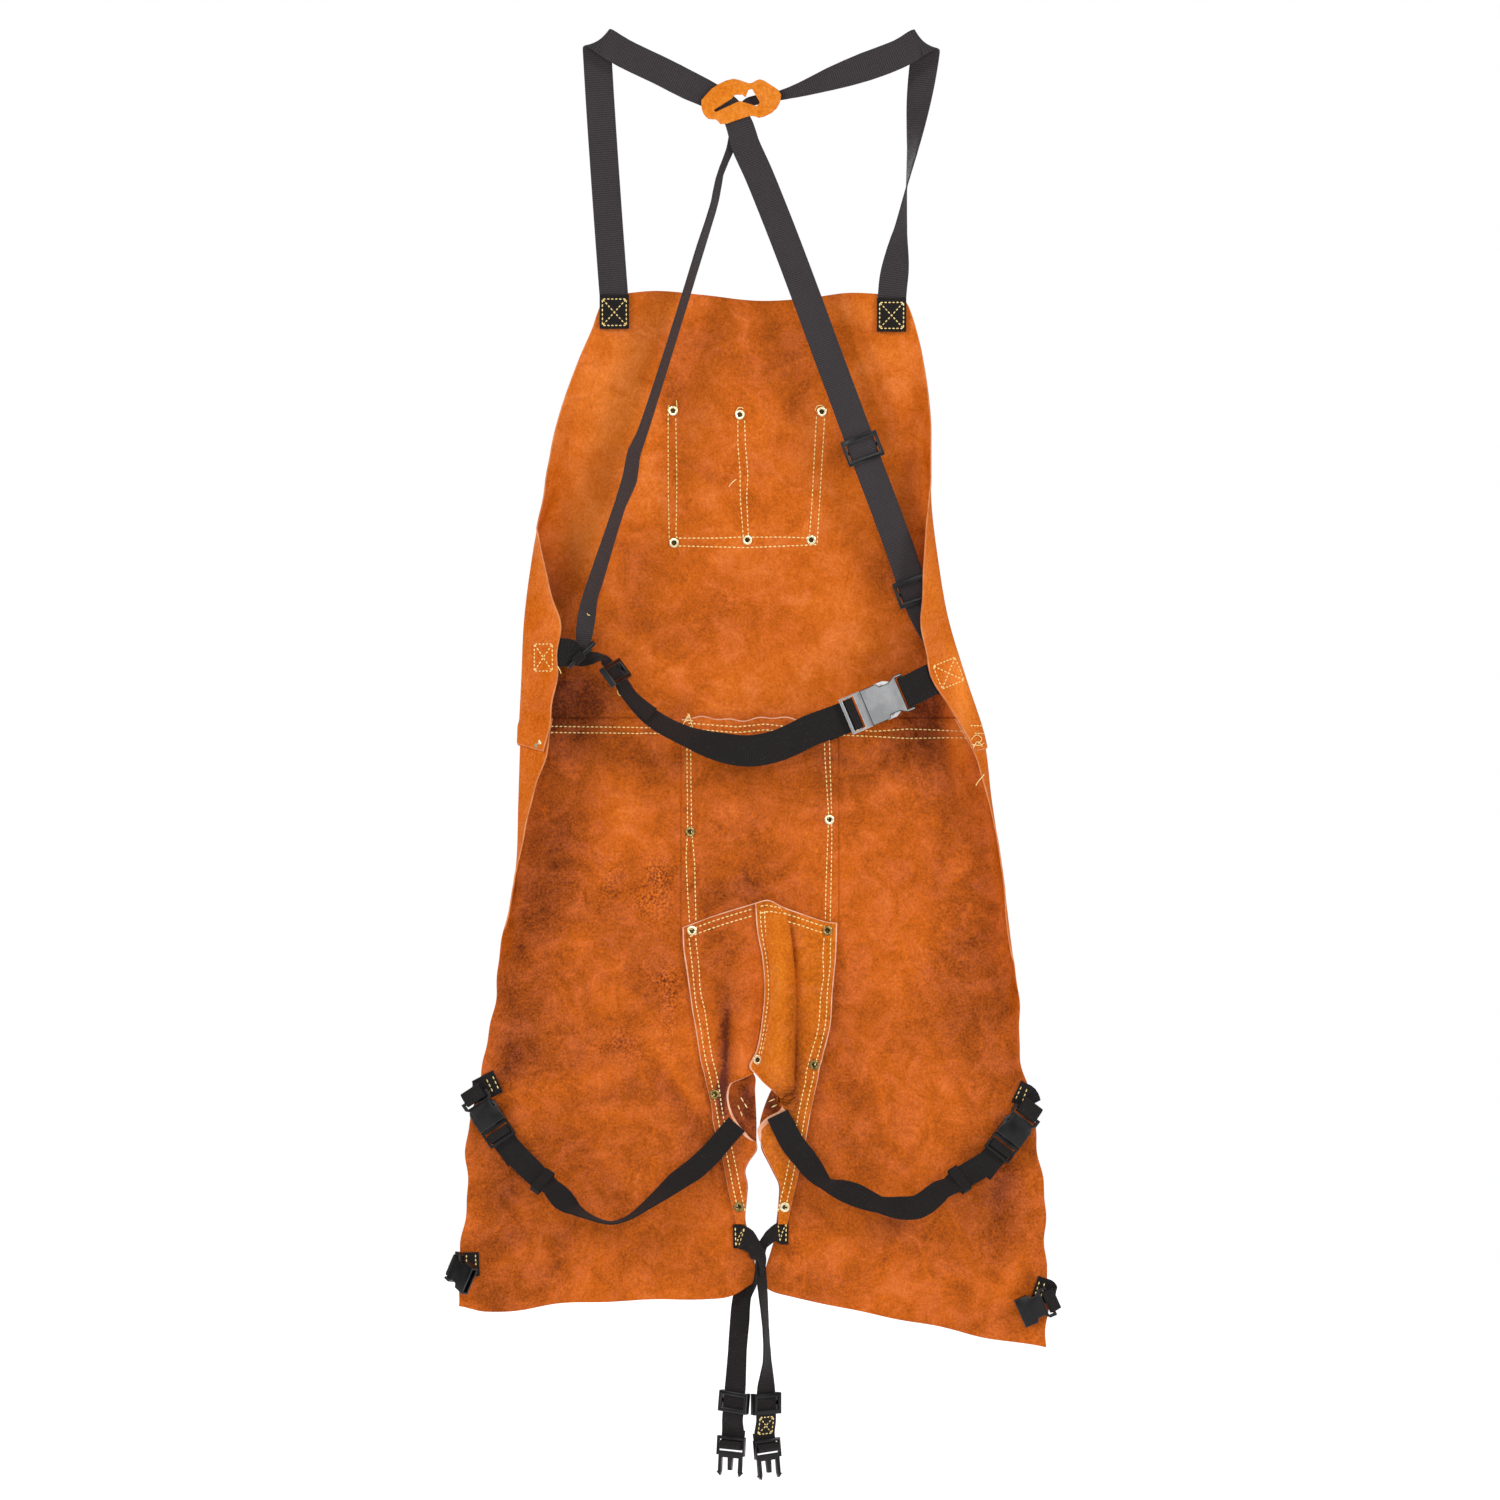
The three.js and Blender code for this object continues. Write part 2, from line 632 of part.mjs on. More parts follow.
function rivetBody(frame) {
  const profile = [
    [0, frame.low - 1.8],
    [RIVET.flange - 1.2, frame.low - 1.4],
    [RIVET.flange, frame.low],
    [RIVET.shank, frame.low],
    [RIVET.shank, frame.high],
    [RIVET.flange, frame.high],
    [RIVET.flange - 1.2, frame.high + 1.3],
    [0, frame.high + 0.2],
  ];
  const outline = profile.map(([r, h]) => new THREE.Vector2(r, h));
  return new THREE.LatheGeometry(outline, RIVET.sides).applyMatrix4(frame.matrix);
}

function rivetHole(frame) {
  const depth = frame.high - frame.low + 4;
  const drill = new THREE.CylinderGeometry(RIVET.hole, RIVET.hole, depth, RIVET.sides);
  return drill.translate(0, (frame.high + frame.low) / 2, 0).applyMatrix4(frame.matrix);
}

const rivets = [...RIVETS, HIP_RIVET].map((rivet) => ({ ...rivet, frame: rivetFrame(rivet) }));

for (const { name, cloth, columns, rows, place } of SHEETS) {
  const plain = sheet(cloth, columns, rows, LAYER_OF[name], place);
  const holes = rivets.filter((rivet) => rivet.through.includes(name)).map((rivet) => rivetHole(rivet.frame));
  addPiece(name, subtract(plain, holes), name === "right_gusset" ? SUEDE_LOOK : LEATHER_LOOK);
}
for (const rivet of rivets) {
  addPiece(rivet.name, rivetBody(rivet.frame), BRASS_LOOK);
}

// Webbing: stations along the strap, each a place, a face direction and a width share, swept into a ribbon
function facing(azimuth, elevation) {
  const a = degrees(azimuth);
  const e = degrees(elevation);
  return point(Math.sin(a) * Math.cos(e), -Math.cos(a) * Math.cos(e), Math.sin(e));
}

const station = (place, face, share = 1) => ({ place, face, share });
const turnedOver = ({ place, face, share }) => station(place, face.clone().negate(), share);

function strand(rows, steps) {
  const numbered = rows.map((row, n) => ({ ...row, n }));
  const curve = new THREE.CatmullRomCurve3(rows.map((row) => point(row.x, row.y, row.z)));
  const spans = rows.length - 1;
  const out = [];
  for (let k = 0; k <= spans * steps; k += 1) {
    const at = k / steps;
    const read = (column) => smooth(numbered, "n", column, at);
    out.push(station(curve.getPoint(at / spans), facing(read("azimuth"), read("elevation")), read("share")));
  }
  return out;
}

const rowOf = (place, azimuth = 0, elevation = 0, share = 1) => ({
  x: place.x,
  y: place.y,
  z: place.z,
  azimuth,
  elevation,
  share,
});

const rowFrom = ({ place, face }) => rowOf(place, THREE.MathUtils.radToDeg(Math.atan2(face.x, -face.y)));

function ribbon(stations, width, thickness = WEBBING) {
  const points = [];
  const last = stations.length - 1;
  stations.forEach(({ place, face, share }, n) => {
    const before = stations[Math.max(n - 1, 0)].place;
    const after = stations[Math.min(n + 1, last)].place;
    const along = after.clone().sub(before).normalize();
    const side = along.clone().cross(face).normalize();
    const up = side.clone().cross(along).multiplyScalar(thickness / 2);
    side.multiplyScalar((width * share) / 2);
    points.push(
      place.clone().sub(side).sub(up),
      place.clone().add(side).sub(up),
      place.clone().add(side).add(up),
      place.clone().sub(side).add(up),
    );
  });
  const index = [0, 1, 2, 0, 2, 3];
  for (let n = 0; n < last; n += 1) {
    for (let edge = 0; edge < 4; edge += 1) {
      const a = n * 4 + edge;
      const b = n * 4 + ((edge + 1) % 4);
      index.push(a, a + 4, b + 4, a, b + 4, b);
    }
  }
  const end = last * 4;
  index.push(end, end + 2, end + 1, end, end + 3, end + 2);
  return geometryOf(points, index);
}

// A strap laid flat over the peg that it hangs on, folding along a slanted line
function overPeg(fold, axisDegrees, arriveDegrees, side) {
  const axis = point(Math.cos(degrees(axisDegrees)), 0, Math.sin(degrees(axisDegrees)));
  const up = point(-axis.z, 0, axis.x);
  if (up.z < 0) {
    up.negate();
  }
  const arrive = point(Math.cos(degrees(arriveDegrees)), 0, Math.sin(degrees(arriveDegrees)));
  const drift = (STRAP_FOLD_RADIUS * arrive.dot(axis)) / arrive.dot(up);
  const out = [];
  for (let k = 0; k <= 6; k += 1) {
    const t = (Math.PI * k) / 6;
    const radial = point(0, Math.cos(t), 0).addScaledVector(up, Math.sin(t));
    const place = fold.clone().addScaledVector(up, -STRAP_FOLD_RADIUS);
    place.addScaledVector(radial, STRAP_FOLD_RADIUS).addScaledVector(axis, drift * (t - Math.PI / 2));
    out.push(station(place, radial.multiplyScalar(side)));
  }
  return out;
}

// Webbing turned round a bar: comes in on the face side from the outward direction and leaves on the far side
function roundBar(bar, outward, face, radius, sweep, share) {
  const out = [];
  const steps = Math.max(3, Math.round(sweep / 40));
  for (let k = 0; k <= steps; k += 1) {
    const t = degrees((sweep * k) / steps);
    const radial = face.clone().multiplyScalar(Math.cos(t)).addScaledVector(outward, -Math.sin(t));
    out.push(station(bar.clone().addScaledVector(radial, radius), radial, share));
  }
  return out;
}

const BAR_HALF = 1.6;

// Side-release buckles: x runs from plug to socket with the joint at 0, z is the face
function buckleSizes(web) {
  return {
    half: web / 2 + 3,
    thick: web * 0.16 + 4,
    socket: web * 1.42,
    plug: web * 0.42 + 9.6,
    bar: 3.2,
    slot: 4.6,
  };
}

function socketBody(web) {
  const size = buckleSizes(web);
  const length = size.socket;
  const notch = [0.4 * length, 0.66 * length];
  const outline = new THREE.Shape();
  outline.moveTo(0, -size.half);
  outline.lineTo(notch[0], -size.half);
  outline.lineTo(notch[0] + 2, -size.half + 4);
  outline.lineTo(notch[1], -size.half + 4);
  outline.lineTo(length - size.bar - size.slot, -size.half - 0.6);
  outline.lineTo(length, -size.half - 0.6);
  outline.lineTo(length, size.half + 0.6);
  outline.lineTo(length - size.bar - size.slot, size.half + 0.6);
  outline.lineTo(notch[1], size.half - 4);
  outline.lineTo(notch[0] + 2, size.half - 4);
  outline.lineTo(notch[0], size.half);
  outline.lineTo(0, size.half);
  outline.closePath();
  const body = new THREE.ExtrudeGeometry(outline, { depth: size.thick, bevelEnabled: false });
  body.translate(0, 0, -size.thick / 2);
  const roof = size.thick / 2 - 1.5;
  const cavity = boxBetween([-5, -size.half + 2.2, -roof], [0.64 * length, size.half - 2.2, roof]);
  const slotStart = length - size.bar - size.slot;
  const slot = boxBetween([slotStart, -web / 2 - 1, -20], [length - size.bar, web / 2 + 1, 20]);
  return subtract(body, [cavity, slot, ...besideBar(length - size.bar, length + 1, web)]);
}

// Cuts that thin a bar between x = start and x = end, above and below it
function besideBar(start, end, web) {
  const half = web / 2 + 1;
  return [
    boxBetween([start - 0.5, -half, BAR_HALF], [end + 0.5, half, 20]),
    boxBetween([start - 0.5, -half, -20], [end + 0.5, half, -BAR_HALF]),
  ];
}

function plugBody(web) {
  const size = buckleSizes(web);
  const depth = size.thick - 3 - 2 * CLEARANCE;
  const start = -size.plug;
  const arm = size.half - 2.2 - CLEARANCE;
  const tip = 0.6 * size.socket;
  const button = 0.46 * size.socket;
  const outline = new THREE.Shape();
  outline.moveTo(start, -size.half);
  outline.lineTo(-CLEARANCE, -size.half);
  outline.lineTo(-CLEARANCE, -arm);
  outline.lineTo(button, -arm);
  outline.lineTo(button + 1, -arm - 1.4);
  outline.lineTo(tip, -arm + 2.4);
  outline.lineTo(button, -arm + 3.6);
  outline.lineTo(2, -arm + 3.4);
  outline.lineTo(2, -2.6);
  outline.lineTo(0.42 * size.socket, -2);
  outline.lineTo(0.42 * size.socket, 2);
  outline.lineTo(2, 2.6);
  outline.lineTo(2, arm - 3.4);
  outline.lineTo(button, arm - 3.6);
  outline.lineTo(tip, arm - 2.4);
  outline.lineTo(button + 1, arm + 1.4);
  outline.lineTo(button, arm);
  outline.lineTo(-CLEARANCE, arm);
  outline.lineTo(-CLEARANCE, size.half);
  outline.lineTo(start, size.half);
  outline.closePath();
  const body = new THREE.ExtrudeGeometry(outline, { depth, bevelEnabled: false });
  const slots = [start + size.bar, start + 2 * size.bar + size.slot].map((slotStart) =>
    boxBetween([slotStart, -web / 2 - 1, -20], [slotStart + size.slot, web / 2 + 1, 20]),
  );
  const middleBar = start + size.bar + size.slot;
  const cuts = [...slots, ...besideBar(middleBar, middleBar + size.bar, web)];
  return subtract(body.translate(0, 0, -depth / 2), cuts);
}

function frameOf(spec) {
  const along = spec.along.clone().normalize();
  const face = spec.face.clone().addScaledVector(along, -spec.face.dot(along)).normalize();
  const matrix = new THREE.Matrix4().makeBasis(along, face.clone().cross(along), face);
  matrix.setPosition(spec.joint);
  return { along, face, matrix, at: (x) => spec.joint.clone().addScaledVector(along, x) };
}

const BAR_WRAP = 3.7;

const socketBar = (spec) => frameOf(spec).at(buckleSizes(spec.web).socket - buckleSizes(spec.web).bar / 2);

// Webbing at the socket's end bar: in over the face, round the bar through the slot and back out behind it
function socketWrap(spec, tail) {
  const frame = frameOf(spec);
  const bar = socketBar(spec);
  const turned = roundBar(bar, frame.along, frame.face, BAR_WRAP, 180, 1);
  const back = bar.clone().addScaledVector(frame.along, tail).addScaledVector(frame.face, -BAR_WRAP + 0.4);
  return [...turned, station(back, frame.face.clone().negate())];
}

// Webbing in the plug's two slots: behind the end bar, over the middle bar and back as a tail behind it
function plugWrap(spec, tail) {
  const frame = frameOf(spec);
  const size = buckleSizes(spec.web);
  const outward = frame.along.clone().negate();
  const behind = size.thick / 2 - 1.5 + WEBBING / 2;
  const bar = frame.at(-size.plug + 1.5 * size.bar + size.slot);
  const spot = (out, up) => bar.clone().addScaledVector(outward, out).addScaledVector(frame.face, up);
  const flat = frame.face;
  const lean = flat.clone().addScaledVector(outward, 1).normalize();
  return [
    station(spot(size.bar + size.slot + 7, -behind), flat),
    station(spot(size.bar + size.slot + 1, -behind), flat),
    station(spot(size.slot + 0.8, -behind + 0.2), flat.clone().addScaledVector(outward, 0.4).normalize()),
    station(spot(3.6, 1.2), lean),
    ...roundBar(bar, outward, frame.face, BAR_WRAP, 160, 1),
    station(spot(2.6, -behind - 2), flat.clone().negate()),
    station(spot(8, -behind - 2.3), flat.clone().negate()),
    station(spot(8 + tail, -behind - 3), flat.clone().negate()),
  ];
}

// Sliders: rails beside the strap, end bars in front of it and a middle bar behind it
function sliderBody(web) {
  const half = web / 2 + 1;
  const gap = WEBBING / 2 + 0.8;
  const deep = gap + 2.2;
  const reach = 0.6 * web - 4;
  const bar = 0.18 * web;
  const rail = 3.6;
  return join([
    boxBetween([-reach, half, -deep], [reach, half + rail, deep]),
    boxBetween([-reach, -half - rail, -deep], [reach, -half, deep]),
    boxBetween([-reach, -half - 1, gap], [-reach + bar, half + 1, deep]),
    boxBetween([reach - bar, -half - 1, gap], [reach, half + 1, deep]),
    boxBetween([-2, -half - 1, -deep], [2, half + 1, -gap]),
  ]);
}

function addSlider(name, web, rows, n) {
  const at = rows[n];
  const joint = point(at.x, at.y, at.z);
  const along = point(rows[n + 1].x, rows[n + 1].y, rows[n + 1].z);
  along.sub(point(rows[n - 1].x, rows[n - 1].y, rows[n - 1].z));
  const facingWearer = facing(at.azimuth > 90 ? at.azimuth - 180 : at.azimuth, at.elevation);
  const { matrix } = frameOf({ joint, along, face: facingWearer });
  addPiece(name, sliderBody(web).applyMatrix4(matrix), PLASTIC_LOOK);
}

// Webbing laid on a sheet, clear of it over its whole width: across is half the width, along s and along z
function laidOn(s, z, layer, across) {
  const shares = [-1, -0.5, 0, 0.5, 1];
  const spots = shares.map((share) => [s + share * across[0], z + share * across[1]]);
  const face = spots.reduce((sum, spot) => sum.add(towardsWearer(hide, ...spot)), point(0, 0, 0)).normalize();
  const base = hide(s, z);
  const rise = Math.max(...spots.map((spot) => hide(...spot).sub(base).dot(face)));
  const height = rise + layer * LAYER + LEATHER / 2 + SEWN_CLEARANCE + WEBBING / 2;
  return station(base.addScaledVector(face, height), face);
}

// The same on the hidden face of the flap at a waist side, measured in from the flap's free edge
function onFlap(side, z, fromEnd, across) {
  const cut = section(z)[side];
  return laidOn(cut.end - cut.sign * fromEnd, z, 0, across);
}

// Shoulder straps: sewn to the bib, up, over the hanging point, through the keeper and down to the waist
const leftPeg = overPeg(point(-164.6, -7.6, -4.2), 33, 92, -1);
const rightPeg = overPeg(point(176, -8.4, -6.3), 142, 84.5, 1);
const acrossTab = [SHOULDER_WEB / 2, 0];
const leftStrapEnd = onFlap("right", -636, 13, [SHOULDER_WEB * 0.4, 0]).place;
const leftTabTop = rowFrom(laidOn(-148.4, -272, 0, acrossTab));
const leftShoulder = [
  laidOn(-148.4, -303, 0, acrossTab),
  laidOn(-148.4, -288, 0, acrossTab),
  ...strand([leftTabTop, ...LEFT_STRAP_RISE, rowOf(leftPeg[0].place)], 2),
  ...leftPeg.slice(1, -1),
  ...strand([rowOf(leftPeg[6].place, 180), ...LEFT_STRAP_FALL, rowOf(leftStrapEnd, 216, 0, 0.8)], 2),
];
addPiece("left_shoulder_strap", ribbon(leftShoulder, SHOULDER_WEB), WEBBING_LOOK);

// The ring that gathers three straps at the left of the waist, seen on edge
const RING = { middle: point(-181, -40, -645), along: point(0.72, 0, 0.69), long: 19, deep: 9, wire: 1.9 };
const ringFrame = frameOf({ joint: RING.middle, along: RING.along, face: point(0.69, 0.12, -0.72) });
const ringDepth = ringFrame.face.clone().cross(ringFrame.along);

function ringBar(along, depth) {
  const onMiddle = RING.middle.clone().addScaledVector(ringFrame.along, along);
  return onMiddle.addScaledVector(ringDepth, depth * (RING.deep - RING.wire));
}

const RING_WRAP = RING.wire * 1.42 + 2.3 * CLEARANCE + WEBBING / 2;
const ringOuter = boxBetween([-RING.long, -RING.deep, -RING.wire], [RING.long, RING.deep, RING.wire]);
const ringInner = boxBetween(
  [-RING.long + 2 * RING.wire, -RING.deep + 2 * RING.wire, -9],
  [RING.long - 2 * RING.wire, RING.deep - 2 * RING.wire, 9],
);
addPiece("waist_ring", subtract(ringOuter, [ringInner]).applyMatrix4(ringFrame.matrix), PLASTIC_LOOK);

// A gathered strap end hooked round one of the ring's long bars, starting towards the strap
function ringHook(bar, towards, face, share, sweep) {
  const outward = towards.clone().addScaledVector(ringFrame.along, -towards.dot(ringFrame.along)).normalize();
  const across = face.clone().addScaledVector(ringFrame.along, -face.dot(ringFrame.along));
  across.addScaledVector(outward, -across.dot(outward)).normalize();
  return roundBar(bar, outward, across, RING_WRAP, sweep, share);
}

const rearSign = Math.sign(ringDepth.y);
const crossHook = ringHook(ringBar(5.6, rearSign), point(0.1, 0.3, 1), point(1, -1, 0), 0.4, 250);
const beltHook = ringHook(ringBar(-7.5, rearSign), point(1, 0.2, 0), point(0, -1, 0.6), 0.38, 250);
const tabHook = ringHook(ringBar(-4.5, -rearSign), point(-1, 0.1, 0), FROM_WEARER, 0.42, 250);

const rightTabTop = rowFrom(laidOn(142, -275, 0, acrossTab));
const rightShoulder = [
  laidOn(142, -306, 0, acrossTab),
  laidOn(142, -290, 0, acrossTab),
  ...strand([rightTabTop, ...RIGHT_STRAP_RISE, rowOf(rightPeg[0].place, 180)], 2),
  ...rightPeg.slice(1, -1),
  ...strand([rowOf(rightPeg[6].place), ...RIGHT_STRAP_FALL], 2),
  ...crossHook,
];
addPiece("right_shoulder_strap", ribbon(rightShoulder, SHOULDER_WEB), WEBBING_LOOK);

addSlider("cross_strap_slider_upper", SHOULDER_WEB, LEFT_STRAP_FALL, 11);
addSlider("cross_strap_slider_lower", SHOULDER_WEB, LEFT_STRAP_FALL, 16);

// Strap keeper: a slit leather oval in front of the crossing straps
const KEEPER = { thick: 2.4, y: -23.6 };
const KEEPER_EDGE = table("x z", [
  [-57, -68],
  [-44, -54],
  [-25, -45.5],
  [-11, -49],
  [-5, -50],
  [4, -46],
  [14, -51],
  [26, -61],
  [21, -77],
  [5, -86],
  [-6, -84],
  [-34, -93],
  [-41, -88],
  [-50, -87],
  [-56, -79],
]);
const KEEPER_SLIT = table("x z", [
  [-44, -78],
  [-25, -66],
  [-22, -62],
  [-14, -62],
  [-11, -65],
  [-8, -57],
  [-4, -56],
  [4, -70],
  [1, -74],
  [-17, -68.5],
  [-42, -80],
]);
const outlineOf = (rows) => rows.map((row) => new THREE.Vector2(row.x, row.z));
const keeperLoop = new THREE.SplineCurve([...outlineOf(KEEPER_EDGE), outlineOf(KEEPER_EDGE)[0]]);
const keeperShape = new THREE.Shape(keeperLoop.getPoints(36).slice(0, -1));
const slitShape = new THREE.Shape(outlineOf(KEEPER_SLIT));
const keeperBlank = new THREE.ExtrudeGeometry(keeperShape, { depth: KEEPER.thick, bevelEnabled: false });
const keeperSlit = new THREE.ExtrudeGeometry(slitShape, { depth: 3 * KEEPER.thick, bevelEnabled: false });
const keeper = subtract(keeperBlank, [keeperSlit.translate(0, 0, -KEEPER.thick)]);
keeper.rotateX(Math.PI / 2).translate(0, KEEPER.y + KEEPER.thick / 2, 0);
addPiece("strap_keeper", keeper, SUEDE_LOOK);

// Waist: a tab on each flap, the belt and its buckle
const leftWaistTab = [
  ...[26, 14, 2].map((fromEnd) => onFlap("left", -643, fromEnd, [0, SHOULDER_WEB / 2])),
  station(point(-199, -42.8, -644), FROM_WEARER, 0.66),
  ...tabHook,
];
addPiece("left_waist_tab", ribbon(leftWaistTab, SHOULDER_WEB), WEBBING_LOOK);

const waistEnd = socketBar(WAIST_BUCKLE).addScaledVector(frameOf(WAIST_BUCKLE).along, 8);
const rightWaistTab = [
  ...[26, 14, 2].map((fromEnd) => turnedOver(onFlap("right", -670, fromEnd, [0, BELT_WEB / 2]))),
  station(waistEnd.clone().add(point(0, -BAR_WRAP + 0.5, 0)), TO_WEARER),
  ...socketWrap(WAIST_BUCKLE, 9),
];
addPiece("right_waist_tab", ribbon(rightWaistTab, BELT_WEB), WEBBING_LOOK);

const belt = [...beltHook.reverse(), ...strand(BELT_RUN, 2), ...plugWrap(WAIST_BUCKLE, 26)];
addPiece("waist_belt", ribbon(belt, BELT_WEB), WEBBING_LOOK);
addSlider("belt_slider", 26, BELT_RUN, 1);

function addBuckle(name, spec, parts) {
  const { matrix } = frameOf(spec);
  if (parts.includes("socket")) {
    addPiece(`${name}_socket`, socketBody(spec.web).applyMatrix4(matrix), PLASTIC_LOOK);
  }
  if (parts.includes("plug")) {
    addPiece(`${name}_plug`, plugBody(spec.web).applyMatrix4(matrix), PLASTIC_LOOK);
  }
}
addBuckle("waist_buckle", WAIST_BUCKLE, "socket plug");
addBuckle("left_thigh_buckle", LEFT_THIGH_BUCKLE, "socket plug");
addBuckle("right_thigh_buckle", RIGHT_THIGH_BUCKLE, "socket plug");
addBuckle("left_ankle_buckle", LEFT_ANKLE_SOCKET, "socket");
addBuckle("right_ankle_buckle", RIGHT_ANKLE_SOCKET, "socket");
addBuckle("left_ankle_buckle", LEFT_ANKLE_PLUG, "plug");
addBuckle("right_ankle_buckle", RIGHT_ANKLE_PLUG, "plug");

// A tab's loop at a socket's bar: comes in behind the bar, turns back beyond it and goes through the slot
function tabLoop(spec, reach, skipped) {
  const frame = frameOf(spec);
  const bar = socketBar(spec);
  const back = frame.along.clone().negate();
  const away = frame.face.clone().negate();
  const outerEnd = bar.clone().addScaledVector(frame.along, reach);
  const turned = roundBar(outerEnd, back, away, BAR_WRAP, 180, 0.9);
  return [...turned.slice(skipped, -1), ...roundBar(bar, frame.along, frame.face, BAR_WRAP, 120, 0.94)];
}

// Tabs sewn to the legs: x and z of the sewn end, the way and length that the tab runs from there, how far
// its loop reaches beyond the bar and how many steps of the loop's turn the tab cuts short
const LEG_TABS = table("name x z runX runZ reach skipped buckle", [
  ["left_thigh_tab", -270, -1090, -12, -5, 7, 0, LEFT_THIGH_BUCKLE],
  ["right_thigh_tab", 273, -1100, 12, -5, 9, 0, RIGHT_THIGH_BUCKLE],
  ["left_ankle_tab", -289, -1281, -17, 0, 0, 2, LEFT_ANKLE_SOCKET],
  ["right_ankle_tab", 291, -1305, 13, -4, 4, 1, RIGHT_ANKLE_SOCKET],
]);
for (const { name, x, z, runX, runZ, reach, skipped, buckle } of LEG_TABS) {
  const half = LEG_WEB / 2 / Math.hypot(runX, runZ);
  const across = [-runZ * half, runX * half];
  const sewn = [0, 0.5, 1].map((share) => turnedOver(laidOn(x + share * runX, z + share * runZ, 1, across)));
  addPiece(name, ribbon([...sewn, ...tabLoop(buckle, reach, skipped)], LEG_WEB), WEBBING_LOOK);
}

// Leg straps
const leftThigh = [...plugWrap(LEFT_THIGH_BUCKLE, 26).reverse(), ...strand(LEFT_THIGH_RUN, 2)];
addPiece("left_thigh_strap", ribbon(leftThigh, LEG_WEB), WEBBING_LOOK);
const rightThigh = [...plugWrap(RIGHT_THIGH_BUCKLE, 26).reverse(), ...strand(RIGHT_THIGH_RUN, 2)];
addPiece("right_thigh_strap", ribbon(rightThigh, LEG_WEB), WEBBING_LOOK);

const leftAnkle = [
  laidOn(-24, -1252, 1, [0, LEG_WEB / 2]),
  laidOn(-17, -1252, 1, [0, LEG_WEB / 2]),
  ...strand(LEFT_ANKLE_RUN, 2),
  ...plugWrap(LEFT_ANKLE_PLUG, 8),
];
addPiece("left_ankle_strap", ribbon(leftAnkle, LEG_WEB), WEBBING_LOOK);
const rightAnkle = [
  laidOn(34, -1248, 1, [0, LEG_WEB / 2]),
  laidOn(26, -1248, 1, [0, LEG_WEB / 2]),
  ...strand(RIGHT_ANKLE_RUN, 2),
  ...plugWrap(RIGHT_ANKLE_PLUG, 8),
];
addPiece("right_ankle_strap", ribbon(rightAnkle, LEG_WEB), WEBBING_LOOK);
addSlider("left_ankle_slider", LEG_WEB, LEFT_ANKLE_RUN, 7);
addSlider("right_ankle_slider", LEG_WEB, RIGHT_ANKLE_RUN, 7);

export default apron;
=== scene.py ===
# A leather split-leg work apron hanging by its shoulder straps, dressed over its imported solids.
# Shapes are worked out in millimetres, in the solids' own frame, and become metres when a mesh is made:
# +Z is up, the wearer's side faces -Y, and the origin lies between the two strap folds it hangs by.
import math
from collections import namedtuple

import bpy
import numpy as np
from mathutils import Matrix, Vector


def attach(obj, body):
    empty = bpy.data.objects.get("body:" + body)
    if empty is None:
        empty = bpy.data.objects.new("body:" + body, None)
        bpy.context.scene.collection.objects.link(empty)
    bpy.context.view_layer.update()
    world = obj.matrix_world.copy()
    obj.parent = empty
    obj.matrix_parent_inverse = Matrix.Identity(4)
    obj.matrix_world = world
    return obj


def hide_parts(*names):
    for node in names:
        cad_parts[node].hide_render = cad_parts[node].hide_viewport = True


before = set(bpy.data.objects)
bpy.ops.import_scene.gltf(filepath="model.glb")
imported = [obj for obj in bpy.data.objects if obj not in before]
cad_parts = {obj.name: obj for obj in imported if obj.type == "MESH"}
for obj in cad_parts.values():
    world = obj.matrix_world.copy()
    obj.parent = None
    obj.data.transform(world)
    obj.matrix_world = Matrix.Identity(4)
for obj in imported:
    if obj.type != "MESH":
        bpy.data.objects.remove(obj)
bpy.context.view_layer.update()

# Driving sizes
MM = 0.001
LEATHER = 1.6
LAYER = LEATHER + 0.4
CLEARANCE = 0.35
SEWN_CLEARANCE = 0.6
WEBBING = 1.4
SHOULDER_WEB = 30
BELT_WEB = 33
LEG_WEB = 25
CURL_RADIUS = 15
STRAP_FOLD_RADIUS = 6
BIB_BOTTOM = -753
LEG_TOP = -711
RAW_EDGE = 1.2
POCKET_LEFT = -97
POCKET_RIGHT = 78
POCKET_TOP = -376
POCKET_BOTTOM = -537

# Which sewn layer each sheet is, counted from the outer face of the bib towards the wearer
LAYER_OF = {
    "chest_pocket": -1,
    "bib_panel": 0,
    "left_leg_panel": 1,
    "right_leg_panel": 1,
    "centre_panel": 2,
    "left_gusset": 3,
    "right_gusset": 4.3,
}


def table(columns, *lines):
    names = columns.split()
    return {name: np.array([line[n] for line in lines], float) for n, name in enumerate(names)}


# How the hide hangs, by height: its side edges, their curl in degrees, the flap beyond it and the outward bow
HANG = table(
    "z left right left_turn left_flap right_turn right_flap bow",
    (-263, -165, 159, 4, 12, 4, 12, 6),
    (-326, -186, 174, 12, 14, 12, 14, 9),
    (-399, -208, 182, 30, 18, 55, 16, 12),
    (-483, -222, 182, 66, 22, 97, 18, 15),
    (-545, -233, 189, 115, 26, 122, 24, 17),
    (-608, -241, 200, 148, 32, 138, 30, 18),
    (-671, -244, 219, 152, 32, 150, 32, 17),
    (-734, -247, 239, 148, 28, 128, 24, 15),
    (-796, -249, 247, 125, 22, 100, 18, 12),
    (-869, -252, 258, 92, 16, 88, 14, 9),
    (-943, -266, 267, 58, 14, 98, 14, 6),
    (-1005, -274, 275, 34, 12, 64, 12, 4),
    (-1068, -284, 278, 20, 12, 30, 12, 2),
    (-1136, -300, 292, 12, 12, 14, 12, 0),
    (-1214, -303, 301, 8, 12, 8, 12, 0),
    (-1292, -310, 304, 5, 12, 5, 12, 0),
    (-1372, -316, 304, 4, 12, 4, 12, 0),
)

